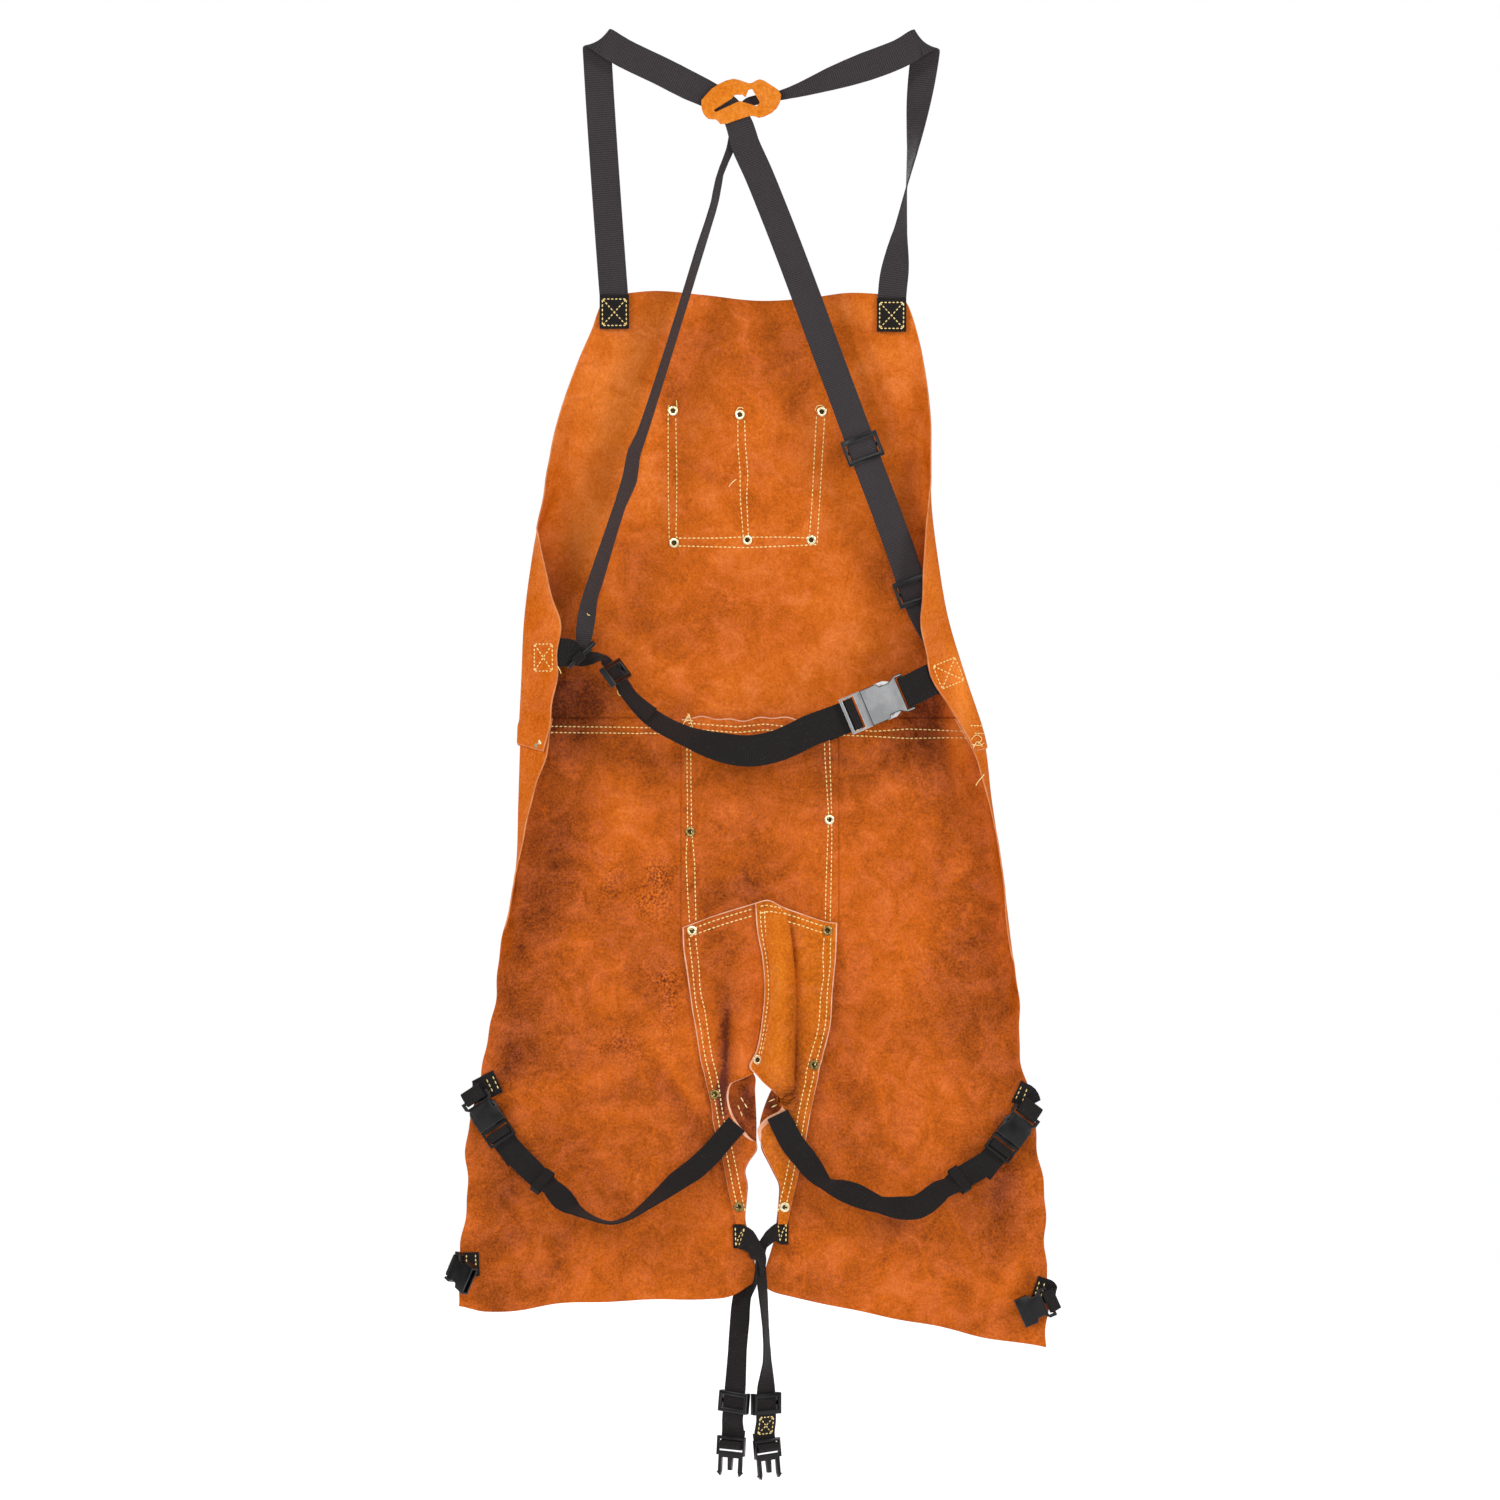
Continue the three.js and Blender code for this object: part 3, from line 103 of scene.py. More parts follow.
# Soft folds: middle, direction in degrees from +X, half length, half width, height towards the wearer
FOLD_COLUMNS = "x z angle length width depth"
FOLDS = table(
    FOLD_COLUMNS,
    (-62, -312, 88, 34, 17, -3),
    (74, -310, 80, 32, 18, -3),
    (10, -650, 4, 110, 22, 3),
    (-150, -840, 60, 90, 30, 4),
    (-120, -1010, 70, 70, 22, -4),
    (-170, -1120, 20, 90, 32, 7),
    (-200, -1230, 80, 60, 30, -5),
    (150, -880, 100, 110, 34, 4),
    (140, -1080, 120, 90, 28, 5),
    (200, -1210, 75, 80, 34, -6),
    (90, -1260, 95, 60, 26, 5),
    (-80, -1270, 95, 60, 26, 5),
)
GUSSET_FOLDS = table(
    FOLD_COLUMNS,
    (-12, -1045, 88, 66, 11, 8),
    (-30, -1040, 86, 40, 8, -3),
    (-46, -985, 70, 34, 9, 2.5),
    (56, -990, 60, 30, 8, 2.5),
)

# The right gusset's loose roll of suede: its far side at each height, and how far it stands up
ROLL = table(
    "z side height",
    (-910, 24, 0),
    (-918, 26, 3),
    (-930, 28, 8),
    (-945, 29.5, 12),
    (-1004, 34.5, 14),
    (-1060, 33.5, 14),
    (-1098, 32, 11),
    (-1120, 31, 0),
)
ROLL_FOOT = 12

TOP_EDGE = table(
    "x z",
    (-165, -269),
    (-120, -264),
    (-60, -268),
    (0, -274),
    (50, -272),
    (105, -266),
    (159, -269),
)

# Inner edges of the two legs
INSEAM = table(
    "z left right",
    (-709, -61, 69),
    (-932, -58, 67),
    (-1026, -46, 56),
    (-1066, -18, 40),
    (-1084, -1.5, 27),
    (-1099, -1, 16),
    (-1131, 0.5, 4.5),
    (-1151, 0.5, 4.5),
    (-1162, 1, 6),
    (-1174, -7, 12),
    (-1184, -11, 17),
    (-1198, -8.5, 23.5),
    (-1214, -9.5, 23.5),
    (-1235, -11, 21.5),
    (-1251, -7, 20),
    (-1282, -1, 11),
    (-1303, -4, 4),
    (-1340, -16, -2),
)

# Hem heights, from the outer edge of each leg (share 0) to its inner edge (share 1)
HEM = table(
    "share left right",
    (0, -1325, -1368),
    (0.1, -1332, -1364),
    (0.35, -1323, -1348),
    (0.7, -1318, -1327),
    (0.9, -1317, -1314),
    (0.95, -1313, -1310),
    (1, -1301, -1302),
)

# Edges of the two gussets, which lap at the centre seam and part below it
GUSSETS = table(
    "z left_outer left_inner right_inner right_outer",
    (-905, -77, 18, -1, 85),
    (-936, -76, 19, 1, 84),
    (-963, -73, 20, 6, 82.5),
    (-998, -69, 20, 8, 80),
    (-1031, -64, 16, 3, 78),
    (-1057, -60, 10, -4, 72),
    (-1071, -57.5, 3, -9.5, 68.5),
    (-1078, -55.5, -1, -8, 67),
    (-1086, -53.5, -13, 1, 65.3),
    (-1093, -52, -23, 9, 63.5),
    (-1104, -49.5, -27.5, 22, 61),
    (-1113, -48, -27, 31, 59),
    (-1120, -47, -25, 25, 57.5),
    (-1128, -46, -21.5, 11, 56),
    (-1140, -43, -13.5, 1, 54),
    (-1151, -40, -1, 4, 52),
    (-1162, -37, 0, 7.5, 49.7),
    (-1174, -34.5, -8, 13.5, 47),
    (-1184, -32.5, -12, 18.5, 45),
    (-1198, -30, -9.5, 25, 42),
    (-1214, -26.5, -10.5, 25, 38),
    (-1233, -22, -12, 23.5, 34),
    (-1240, -20.5, -12.5, 23, 32.5),
)

# Top edge of the gussets, an arch across the centre panel
ARCH = table(
    "x z",
    (-78, -930),
    (-43, -917),
    (0, -904),
    (13, -901),
    (28, -908),
    (71, -923),
    (86, -925),
)

# Rivets by their place on the wearer's side and the sheets they go through
RIVETS = (
    ("pocket_rivet_1", -87, -389, ("chest_pocket", "bib_panel")),
    ("pocket_rivet_2", -17, -393, ("chest_pocket", "bib_panel")),
    ("pocket_rivet_3", 69, -390, ("chest_pocket", "bib_panel")),
    ("pocket_rivet_4", -86, -527, ("chest_pocket", "bib_panel")),
    ("pocket_rivet_5", -9, -524, ("chest_pocket", "bib_panel")),
    ("pocket_rivet_6", 58, -524, ("chest_pocket", "bib_panel")),
    ("left_seam_rivet_1", -69, -830, ("left_leg_panel", "centre_panel")),
    ("left_seam_rivet_2", -67, -933, ("left_leg_panel", "centre_panel", "left_gusset")),
    ("left_seam_rivet_3", -43, -1104, ("left_leg_panel", "left_gusset")),
    ("left_seam_rivet_4", -18, -1221, ("left_leg_panel", "left_gusset")),
    ("right_seam_rivet_1", 77, -817, ("right_leg_panel", "centre_panel")),
    ("right_seam_rivet_2", 75, -933, ("right_leg_panel", "centre_panel", "right_gusset")),
    ("right_seam_rivet_3", 62, -1073, ("right_leg_panel", "right_gusset")),
    ("right_seam_rivet_4", 30, -1221, ("right_leg_panel", "right_gusset")),
    ("crotch_rivet", -3, -1067, ("left_gusset", "right_gusset")),
)
HIP_RIVET_FROM_FLAP_END = 10
HIP_RIVET_Z = -738

# Straps: places along the webbing, the way its face points in degrees and the share of its width spread out
STRAP_COLUMNS = "x y z azimuth elevation share"
LEFT_STRAP_RISE = table(
    STRAP_COLUMNS,
    (-149.4, -4.4, -257, 3, 0, 1),
    (-153.6, -3, -201, 0, 0, 1),
    (-158.8, -1.6, -128, 0, 0, 1),
    (-163, -1.6, -65, 0, 0, 1),
)
LEFT_STRAP_FALL = table(
    STRAP_COLUMNS,
    (-137, -14, -18, 180, 0, 1),
    (-100, -16, -36, 180, 0, 1),
    (-69, -18, -52, 180, 0, 1),
    (-43, -20, -65, 180, 0, 0.9),
    (-26, -21, -78, 180, 0, 0.85),
    (-17, -21.5, -94, 180, 0, 0.95),
    (-11, -22, -114, 180, 0, 1),
    (2, -23.5, -143, 180, 0, 1),
    (33, -26, -221, 180, 0, 1),
    (72, -27, -326, 180, 0, 1),
    (104, -26, -412, 180, 0, 1),
    (110.8, -25.5, -430.5, 180, 0, 1),
    (117.6, -25, -449, 180, 0, 1),
    (131, -23.5, -484, 180, 0, 1),
    (150, -19.5, -535, 180, 0, 1),
    (158.5, -17.5, -560, 180, 0, 1),
    (164.6, -16, -578, 180, 0, 1),
    (170.7, -15.5, -596, 186, 0, 0.95),
)
RIGHT_STRAP_RISE = table(
    STRAP_COLUMNS,
    (143.2, -6, -257, -1, 0, 1),
    (147, -8, -230, 32, 0, 1),
    (151, -5, -203, 62, 0, 1),
    (157, -3.6, -159, 88, 0, 1),
    (164, -3.2, -115, 112, 0, 1),
    (170, -2.4, -67, 146, 0, 1),
)
RIGHT_STRAP_FALL = table(
    STRAP_COLUMNS,
    (150, -15, -18, 0, 0, 1),
    (114, -16, -32, 18, 0, 1),
    (77, -17, -45, 40, 0, 0.8),
    (46, -17, -56, 40, 0, 0.5),
    (25, -17, -62, 14, 0, 0.34),
    (6, -17, -66, 0, 0, 0.34),
    (-9, -17, -70, 0, 0, 0.34),
    (-20, -17.5, -90, 0, 0, 0.34),
    (-27, -18, -118, 14, 0, 0.28),
    (-37, -19, -144, 52, 0, 0.3),
    (-43.5, -21, -175, 76, 0, 0.8),
    (-58, -23, -222, 77, 0, 1),
    (-90, -25, -326, 77, 0, 1),
    (-119, -26, -416, 73, 0, 1),
    (-127, -26, -436, 66, 0, 1),
    (-131.5, -26, -462, 62, 0, 1),
    (-141, -26, -488, 70, 0, 1),
    (-158, -26, -540, 66, 0, 1),
    (-173, -28, -588, 58, 0, 0.9),
)
BELT_RUN = table(
    STRAP_COLUMNS,
    (-160, -36.5, -648, 0, 72, 0.6),
    (-146, -37.5, -664, 0, 71, 0.56),
    (-133, -38.5, -686, 0, 69, 0.7),
    (-117, -39, -703, 0, 64, 0.92),
    (-100, -39.5, -716, 0, 60, 1),
    (-69, -40.5, -731, 0, 52, 1),
    (-37, -41, -741, 0, 24, 1),
    (-6, -41.5, -745, 0, 6, 1),
    (25, -41.7, -738.5, 0, 0, 1),
    (56, -41.8, -724, 0, 0, 1),
)
LEFT_THIGH_RUN = table(
    STRAP_COLUMNS,
    (-225, -22, -1190, 0, 36, 1),
    (-213, -25, -1199, 0, 60, 1),
    (-202, -28, -1210.5, 0, 34, 1),
    (-188, -30.5, -1221.5, 0, 70, 1),
    (-168, -31.5, -1231.5, 0, 86, 1),
    (-150, -32, -1235.5, 0, 88, 1),
    (-132, -31, -1230, 0, 86, 1),
    (-115, -28.5, -1218.5, 0, 80, 1),
    (-96, -25, -1204, 0, 64, 1),
    (-80, -21.5, -1191.5, 0, 44, 1),
    (-64, -18, -1180.5, 0, 34, 1),
    (-47, -15, -1165, 0, 28, 0.95),
    (-33, -11.5, -1149, 0, 20, 0.9),
    (-20, -9.5, -1134.5, 0, 10, 0.9),
)
RIGHT_THIGH_RUN = table(
    STRAP_COLUMNS,
    (212, -22.5, -1191, 0, 20, 1),
    (202, -25, -1197.5, 0, 50, 1),
    (192, -27, -1202, 0, 40, 1),
    (180, -29, -1212, 0, 14, 1),
    (168, -30.5, -1219, 0, 12, 1),
    (150, -31.5, -1220, 0, 22, 1),
    (128, -31, -1216.5, 0, 52, 1),
    (104, -29, -1207, 0, 20, 1),
    (86, -26.5, -1200.5, 0, 42, 1),
    (72, -23.5, -1195, 0, 70, 1),
    (60, -20, -1182, 0, 42, 1),
    (50, -17, -1169, 0, 14, 1),
    (38, -14.5, -1154, 0, 0, 1),
    (29, -13.5, -1137, 0, 0, 1),
    (22.5, -13, -1124, 0, 0, 0.95),
)
LEFT_ANKLE_RUN = table(
    STRAP_COLUMNS,
    (-10, -13, -1255, 0, 0, 0.95),
    (-1, -15, -1264, -10, 0, 0.65),
    (3, -13, -1278, -50, 0, 0.9),
    (1, -3, -1289, -75, 0, 0.8),
    (-6, 5, -1299, -45, 0, 0.85),
    (-14, 6, -1314, -20, 0, 0.8),
    (-17, 3, -1341, -25, 0, 0.9),
    (-19.5, -6, -1372, -34, 0, 0.95),
    (-21.5, -13.5, -1406, -30, 0, 1),
    (-23, -13, -1424, -30, 0, 1),
    (-24.5, -12.5, -1442, -30, 0, 1),
)
RIGHT_ANKLE_RUN = table(
    STRAP_COLUMNS,
    (17, -11.5, -1250, 0, 0, 0.6),
    (7, -11, -1261, 8, 0, 0.4),
    (5, -10.5, -1279, 20, 0, 0.4),
    (7, -11, -1308, 58, 0, 0.7),
    (10, -11, -1345, 76, 0, 1),
    (11.5, -9, -1382, 70, 0, 1),
    (10.5, -9, -1408, 44, 0, 1),
    (10.5, -9, -1426, 36, 0, 1),
    (10.5, -9, -1444, 34, 0, 1),
)

# Buckles: middle of the joint of plug and socket, the way from plug to socket and the way the face points
TO_WEARER = Vector((0, -1, 0))
FROM_WEARER = Vector((0, 1, 0))
Buckle = namedtuple("Buckle", "web joint along face")
WAIST_BUCKLE = Buckle(BELT_WEB, Vector((114.5, -42, -701)), Vector((0.921, 0, 0.39)), TO_WEARER)
LEFT_THIGH_BUCKLE = Buckle(
    LEG_WEB, Vector((-274, -14.8, -1135)), Vector((-0.55, 0.03, 0.83)), Vector((-0.15, -1, 0))
)
RIGHT_THIGH_BUCKLE = Buckle(
    LEG_WEB, Vector((262, -15.6, -1150)), Vector((0.6, 0.03, 0.8)), Vector((0.15, -1, 0))
)
LEFT_ANKLE_SOCKET = Buckle(
    LEG_WEB, Vector((-297, -37, -1296)), Vector((-0.55, 0.72, 0.42)), Vector((-0.72, -0.65, 0.15))
)
RIGHT_ANKLE_SOCKET = Buckle(
    LEG_WEB, Vector((275, -14, -1332)), Vector((0.915, 0, 0.403)), Vector((0.1, -1, 0))
)
LEFT_ANKLE_PLUG = Buckle(
    LEG_WEB, Vector((-26.4, -11.8, -1480)), Vector((-0.05, 0, -1)), Vector((-0.4, -1, 0))
)
RIGHT_ANKLE_PLUG = Buckle(
    LEG_WEB, Vector((12.5, -9, -1483)), Vector((0.08, 0, -1)), Vector((0.6, -1, 0))
)


# Reading the tables: a smooth curve through the rows
def smooth(rows, key, column, at):
    keys = rows[key]
    values = rows[column]
    if keys[0] > keys[-1]:
        keys = keys[::-1]
        values = values[::-1]
    slopes = np.empty(len(keys))
    slopes[1:-1] = (values[2:] - values[:-2]) / (keys[2:] - keys[:-2])
    slopes[0] = (values[1] - values[0]) / (keys[1] - keys[0])
    slopes[-1] = (values[-1] - values[-2]) / (keys[-1] - keys[-2])
    at = np.asarray(at, float)
    n = np.clip(np.searchsorted(keys, at), 1, len(keys) - 1)
    span = keys[n] - keys[n - 1]
    t = np.clip((at - keys[n - 1]) / span, 0, 1)
    rise = t * t * (3 - 2 * t)
    leave = t * (1 - t) ** 2 * span * slopes[n - 1]
    arrive = t * t * (t - 1) * span * slopes[n]
    return values[n - 1] + (values[n] - values[n - 1]) * rise + leave + arrive


def lerp(a, b, t):
    return a + (b - a) * t


def smoothstep(x, low, high):
    t = np.clip((x - low) / (high - low), 0, 1)
    return t * t * (3 - 2 * t)


def fold_height(folds, x, z):
    height = np.zeros(np.broadcast(x, z).shape)
    for n in range(len(folds["x"])):
        turn = math.radians(folds["angle"][n])
        from_x = x - folds["x"][n]
        from_z = z - folds["z"][n]
        along = (from_x * math.cos(turn) + from_z * math.sin(turn)) / folds["length"][n]
        across = (from_z * math.cos(turn) - from_x * math.sin(turn)) / folds["width"][n]
        height = height + folds["depth"][n] * np.exp(-along * along - across * across)
    return height


# Sharper creases that show in the hanging hide
SHARP_CREASES = table(
    FOLD_COLUMNS,
    (114, -342, 110, 62, 5, 1.8),
    (122, -350, 110, 55, 6, -1.4),
    (-172, -328, 80, 30, 7, 1.2),
    (-7, -605, 88, 34, 5, -1.4),
    (-40, -470, 4, 60, 10, 1.6),
    (60, -590, 172, 70, 9, 1.4),
    (-110, -610, 8, 60, 8, -1.3),
    (-193, -1090, 15, 62, 13, 4.5),
    (-150, -1108, 12, 50, 10, -3),
    (-77, -1088, 126, 46, 8, 4),
    (-92, -1098, 126, 44, 9, -3.5),
    (-165, -1092, 155, 16, 4, 1.6),
    (86, -1082, 118, 16, 4, 2.2),
    (79, -1094, 118, 15, 4, 1.8),
    (165, -1150, 48, 46, 4, 1),
    (155, -1100, 176, 16, 5, 1.4),
    (-240, -1180, 60, 40, 12, -3),
    (-262, -1255, 10, 40, 14, -4),
    (-150, -770, 160, 40, 8, 1.6),
    (-120, -790, 150, 40, 9, -1.4),
    (130, -790, 15, 50, 8, 1.5),
    (170, -830, 165, 46, 10, -1.6),
    (-30, -865, 40, 26, 8, 2.2),
    (-12, -872, 105, 22, 6, -2.4),
    (255, -1200, 84, 60, 14, -3.5),
    (270, -1290, 60, 40, 12, 3),
)

# Small creases that handling leaves in the hide, upright on the legs and level on the bib
CREASE_COUNT = 110
CREASE_SEED = 23
CREASE_FIELD_X = 290
CREASE_FIELD_BOTTOM = -1340
CREASE_FIELD_TOP = -290
LEGS_BELOW = -760


def scattered_creases():
    dice = np.random.default_rng(CREASE_SEED)
    lines = []
    for _ in range(CREASE_COUNT):
        x = dice.uniform(-CREASE_FIELD_X, CREASE_FIELD_X)
        z = dice.uniform(CREASE_FIELD_BOTTOM, CREASE_FIELD_TOP)
        if z < LEGS_BELOW:
            angle = dice.normal(70 if x < 0 else 110, 35)
        else:
            angle = dice.normal(5, 28)
        length = dice.uniform(18, 60)
        width = dice.uniform(4, 10)
        depth = dice.choice((-1, 1)) * dice.uniform(0.35, 1.0)
        lines.append((x, z, angle, length, width, depth))
    return table(FOLD_COLUMNS, *lines)


CREASES = scattered_creases()

# The doubled seams down the middle of the legs hold the hide flat, which fades out round them
SEAM_MIDDLE = 4
SEAM_HALF = 92
SEAM_TOP = -700
SEAM_BOTTOM = -1235
FADE_BESIDE_SEAMS = 45
FADE_ABOVE_SEAMS = 40
FADE_BELOW_SEAMS = 30


def seam_calm(x, z):
    from_seams = smoothstep(np.abs(x - SEAM_MIDDLE), SEAM_HALF, SEAM_HALF + FADE_BESIDE_SEAMS)
    above_seams = smoothstep(z, SEAM_TOP, SEAM_TOP + FADE_ABOVE_SEAMS)
    below_seams = 1 - smoothstep(z, SEAM_BOTTOM - FADE_BELOW_SEAMS, SEAM_BOTTOM)
    return np.maximum(from_seams, np.maximum(above_seams, below_seams))


# One level cut through the hanging hide: a bowed middle, then a curl and a flap at each side
Side = namedtuple("Side", "sign turn flap arc start end")
Cut = namedtuple("Cut", "bow lean left right middle half")


def section(z):
    def read(column):
        return smooth(HANG, "z", column, z)

    bow = read("bow")
    lean = np.arctan(4 * bow / (read("right") - read("left")))

    def side(edge, sign, turn_degrees, flap):
        turn = np.maximum(np.radians(turn_degrees), lean)
        curl_reach = CURL_RADIUS * (np.sin(np.minimum(turn, math.pi / 2)) - np.sin(lean))
        reach = curl_reach + flap * np.maximum(np.cos(turn), 0)
        arc = CURL_RADIUS * (turn - lean)
        start = edge - sign * reach
        return Side(sign, turn, flap, arc, start, start + sign * (arc + flap))

    left = side(read("left"), -1, read("left_turn"), read("left_flap"))
    right = side(read("right"), 1, read("right_turn"), read("right_flap"))
    middle = (left.start + right.start) / 2
    return Cut(bow, lean, left, right, middle, right.start - middle)


# The hide's middle surface: s runs across it, equal to x on the middle part and to the length along the curls
def hide(s, z):
    s = np.asarray(s, float)
    z = np.asarray(z, float)
    cut = section(z)
    offset = s - cut.middle
    is_left = offset < 0
    sign = np.where(is_left, -1.0, 1.0)
    start = np.where(is_left, cut.left.start, cut.right.start)
    arc = np.where(is_left, cut.left.arc, cut.right.arc)
    beyond = np.maximum(np.abs(offset) - cut.half, 0)
    turn = cut.lean + np.minimum(beyond, arc) / CURL_RADIUS
    straight = np.maximum(beyond - arc, 0)
    outwards = CURL_RADIUS * (np.sin(turn) - np.sin(cut.lean)) + straight * np.cos(turn)
    curled_y = CURL_RADIUS * (np.cos(turn) - np.cos(cut.lean)) - straight * np.sin(turn)
    bowed_y = cut.bow * (1 - (offset / cut.half) ** 2)
    on_curl = beyond > 0
    x = np.where(on_curl, start + sign * outwards, s)
    y = np.where(on_curl, curled_y, bowed_y)
    small = fold_height(CREASES, x, z) * seam_calm(x, z) + fold_height(SHARP_CREASES, x, z)
    y = y - fold_height(FOLDS, x, z) * seam_calm(x, z) - np.where(on_curl, 0, small)
    return np.stack(np.broadcast_arrays(x, y, z), axis=-1)


# The roll rises softly from the centre seam and drops off steeply into a hollow on its far side
def roll_height(s, z):
    foot = smooth(GUSSETS, "z", "right_inner", z) + ROLL_FOOT
    far = smooth(ROLL, "z", "side", z)
    share = (s - foot) / (far - foot)
    hollow = 0.2 * smoothstep(share, 0.8, 1.1) * (1 - smoothstep(share, 1.1, 2.2))
    shape = smoothstep(share, 0, 0.7) * (1 - smoothstep(share, 0.8, 1.08)) - hollow
    return smooth(ROLL, "z", "height", z) * shape


# The loose inner edges below the centre seam curl up into lips, each from a depth where it starts and is full
LIP_HEIGHT = 2.6
LIP_WIDTH = 6
LIP_STARTS = {"left_inner": (1090, 1104), "right_inner": (1110, 1120)}
LIP_FADE = (1142, 1152)


def lip_height(s, z):
    lips = 0
    for edge, (start, full) in LIP_STARTS.items():
        from_edge = np.abs(s - smooth(GUSSETS, "z", edge, z))
        lips = lips + np.exp(-from_edge / LIP_WIDTH) * smoothstep(-z, start, full)
    return LIP_HEIGHT * (1 - smoothstep(-z, *LIP_FADE)) * lips


def gusset_hide(s, z):
    s = np.asarray(s, float)
    z = np.asarray(z, float)
    place = hide(s, z)
    place[..., 1] -= fold_height(GUSSET_FOLDS, s, z) + roll_height(s, z) + lip_height(s, z)
    return place


def unit(vectors):
    return vectors / np.maximum(np.linalg.norm(vectors, axis=-1, keepdims=True), 1e-9)


# The way that the wearer's face of a hide points, from places a small step apart
SLOPE_STEP = 0.5


def towards_wearer(cloth, s, z):
    across = cloth(s + SLOPE_STEP, z) - cloth(s - SLOPE_STEP, z)
    up = cloth(s, z + SLOPE_STEP) - cloth(s, z - SLOPE_STEP)
    return unit(np.cross(across, up))


def lifted(cloth, s, z, height):
    s = np.asarray(s, float)
    z = np.asarray(z, float)
    return cloth(s, z) + towards_wearer(cloth, s, z) * np.asarray(height, float)[..., None]


# Making objects
def link(obj):
    bpy.context.scene.collection.objects.link(obj)
    return obj


def deselect_all():
    bpy.ops.object.select_all(action="DESELECT")


def take_up(obj):
    deselect_all()
    obj.select_set(True)
    bpy.context.view_layer.objects.active = obj


def mesh_object(name, points, faces, looks, look_of=None, uvs=None):
    mesh = bpy.data.meshes.new(name)
    mesh.from_pydata((np.asarray(points) * MM).tolist(), [], faces)
    for look in looks:
        mesh.materials.append(look)
    if look_of is not None:
        mesh.polygons.foreach_set("material_index", np.asarray(look_of, np.int32))
    if uvs is not None:
        layer = mesh.uv_layers.new(name="UVMap")
        corners = np.empty(len(mesh.loops), np.int32)
        mesh.loops.foreach_get("vertex_index", corners)
        layer.data.foreach_set("uv", np.asarray(uvs, np.float32)[corners].ravel())
    mesh.update()
    return link(bpy.data.objects.new(name, mesh))


def smooth_by_angle(obj, degrees):
    take_up(obj)
    bpy.ops.object.shade_smooth_by_angle(angle=math.radians(degrees))


def place_on_root(obj, slot, *nodes):
    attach(obj, "root")
    if nodes:
        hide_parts(*nodes)


# Materials
def linear(red, green, blue):
    shares = [value / 255 for value in (red, green, blue)]
    return tuple(s / 12.92 if s <= 0.04045 else ((s + 0.055) / 1.055) ** 2.4 for s in shares) + (1.0,)


# Gives each socket its value, or the link that feeds it
def feed(tree, sockets, values):
    for socket, value in zip(sockets, values):
        if isinstance(value, bpy.types.NodeSocket):
            tree.links.new(value, socket)
        else:
            socket.default_value = value


def add(tree, kind, settings=None, **inputs):
    node = tree.nodes.new(kind)
    for name, value in (settings or {}).items():
        setattr(node, name, value)
    feed(tree, [node.inputs[name.replace("_", " ")] for name in inputs], inputs.values())
    return node


def math_node(tree, operation, *values):
    node = add(tree, "ShaderNodeMath", {"operation": operation})
    feed(tree, node.inputs, values)
    return node.outputs[0]


def noise(tree, place, **inputs):
    return add(tree, "ShaderNodeTexNoise", Vector=place, **inputs).outputs


# A value taken from one range to another and held at its ends
def ranged(tree, value, low, high, first=0.0, last=1.0):
    node = add(tree, "ShaderNodeMapRange", Value=value, From_Min=low, From_Max=high)
    node.inputs["To Min"].default_value = first
    node.inputs["To Max"].default_value = last
    return node.outputs[0]


# A node group that reads a place on the piece and some values
def new_group(name, values, outputs):
    group = bpy.data.node_groups.new(name, "ShaderNodeTree")
    group.interface.new_socket("Vector", in_out="INPUT", socket_type="NodeSocketVector")
    for value in values:
        group.interface.new_socket(value, in_out="INPUT", socket_type="NodeSocketFloat")
    for output in outputs:
        group.interface.new_socket(output, in_out="OUTPUT", socket_type="NodeSocketFloat")
    start = group.nodes.new("NodeGroupInput")
    end = group.nodes.new("NodeGroupOutput")
    return group, start.outputs, end.inputs


# Clouded tone, smudges, pale wrinkles, faint crackle and fine grain of a hide
WRINKLES = ((11.0, 0.014), (27.0, 0.022))
CRACKLE_SWAY = (0.045, 0.045, 0.045)


def make_hide_group():
    group, given, out = new_group(
        "hide_mottle", ("Cloud Scale", "Grain Scale"), ("Cloud", "Smudge", "Wrinkle", "Crackle", "Grain")
    )
    place = given["Vector"]
    cloud = noise(group, place, Scale=given["Cloud Scale"], Detail=5.0, Roughness=0.62, Distortion=0.5)
    smudge = noise(group, place, Scale=34.0, Detail=8.0, Roughness=0.74, Distortion=0.6)
    lines = 0.0
    for scale, width in WRINKLES:
        level = noise(group, place, Scale=scale, Detail=2.0, Distortion=0.5)
        from_line = math_node(group, "ABSOLUTE", math_node(group, "SUBTRACT", level["Fac"], 0.5))
        lines = math_node(group, "MAXIMUM", lines, ranged(group, from_line, 0.0, width, 1.0, 0.0))
    wrinkled = ranged(group, noise(group, place, Scale=14.0, Detail=2.0)["Fac"], 0.5, 0.66)
    wrinkle = math_node(group, "MULTIPLY", lines, wrinkled)
    sway = add(group, "ShaderNodeVectorMath", {"operation": "MULTIPLY_ADD"})
    feed(group, sway.inputs, (noise(group, place, Scale=22.0, Detail=3.0)["Color"], CRACKLE_SWAY, place))
    cells = add(
        group, "ShaderNodeTexVoronoi", {"feature": "DISTANCE_TO_EDGE"}, Vector=sway.outputs[0], Scale=34.0
    )
    cracks = ranged(group, cells.outputs["Distance"], 0.0, 0.05, 1.0, 0.0)
    cracked = ranged(group, noise(group, place, Scale=9.0, Detail=2.0)["Fac"], 0.52, 0.7)
    crackle = math_node(group, "MULTIPLY", cracks, cracked)
    grain = noise(group, place, Scale=given["Grain Scale"], Detail=3.0, Roughness=0.6)
    feed(group, out, (cloud["Fac"], smudge["Fac"], wrinkle, crackle, grain["Fac"]))
    return group


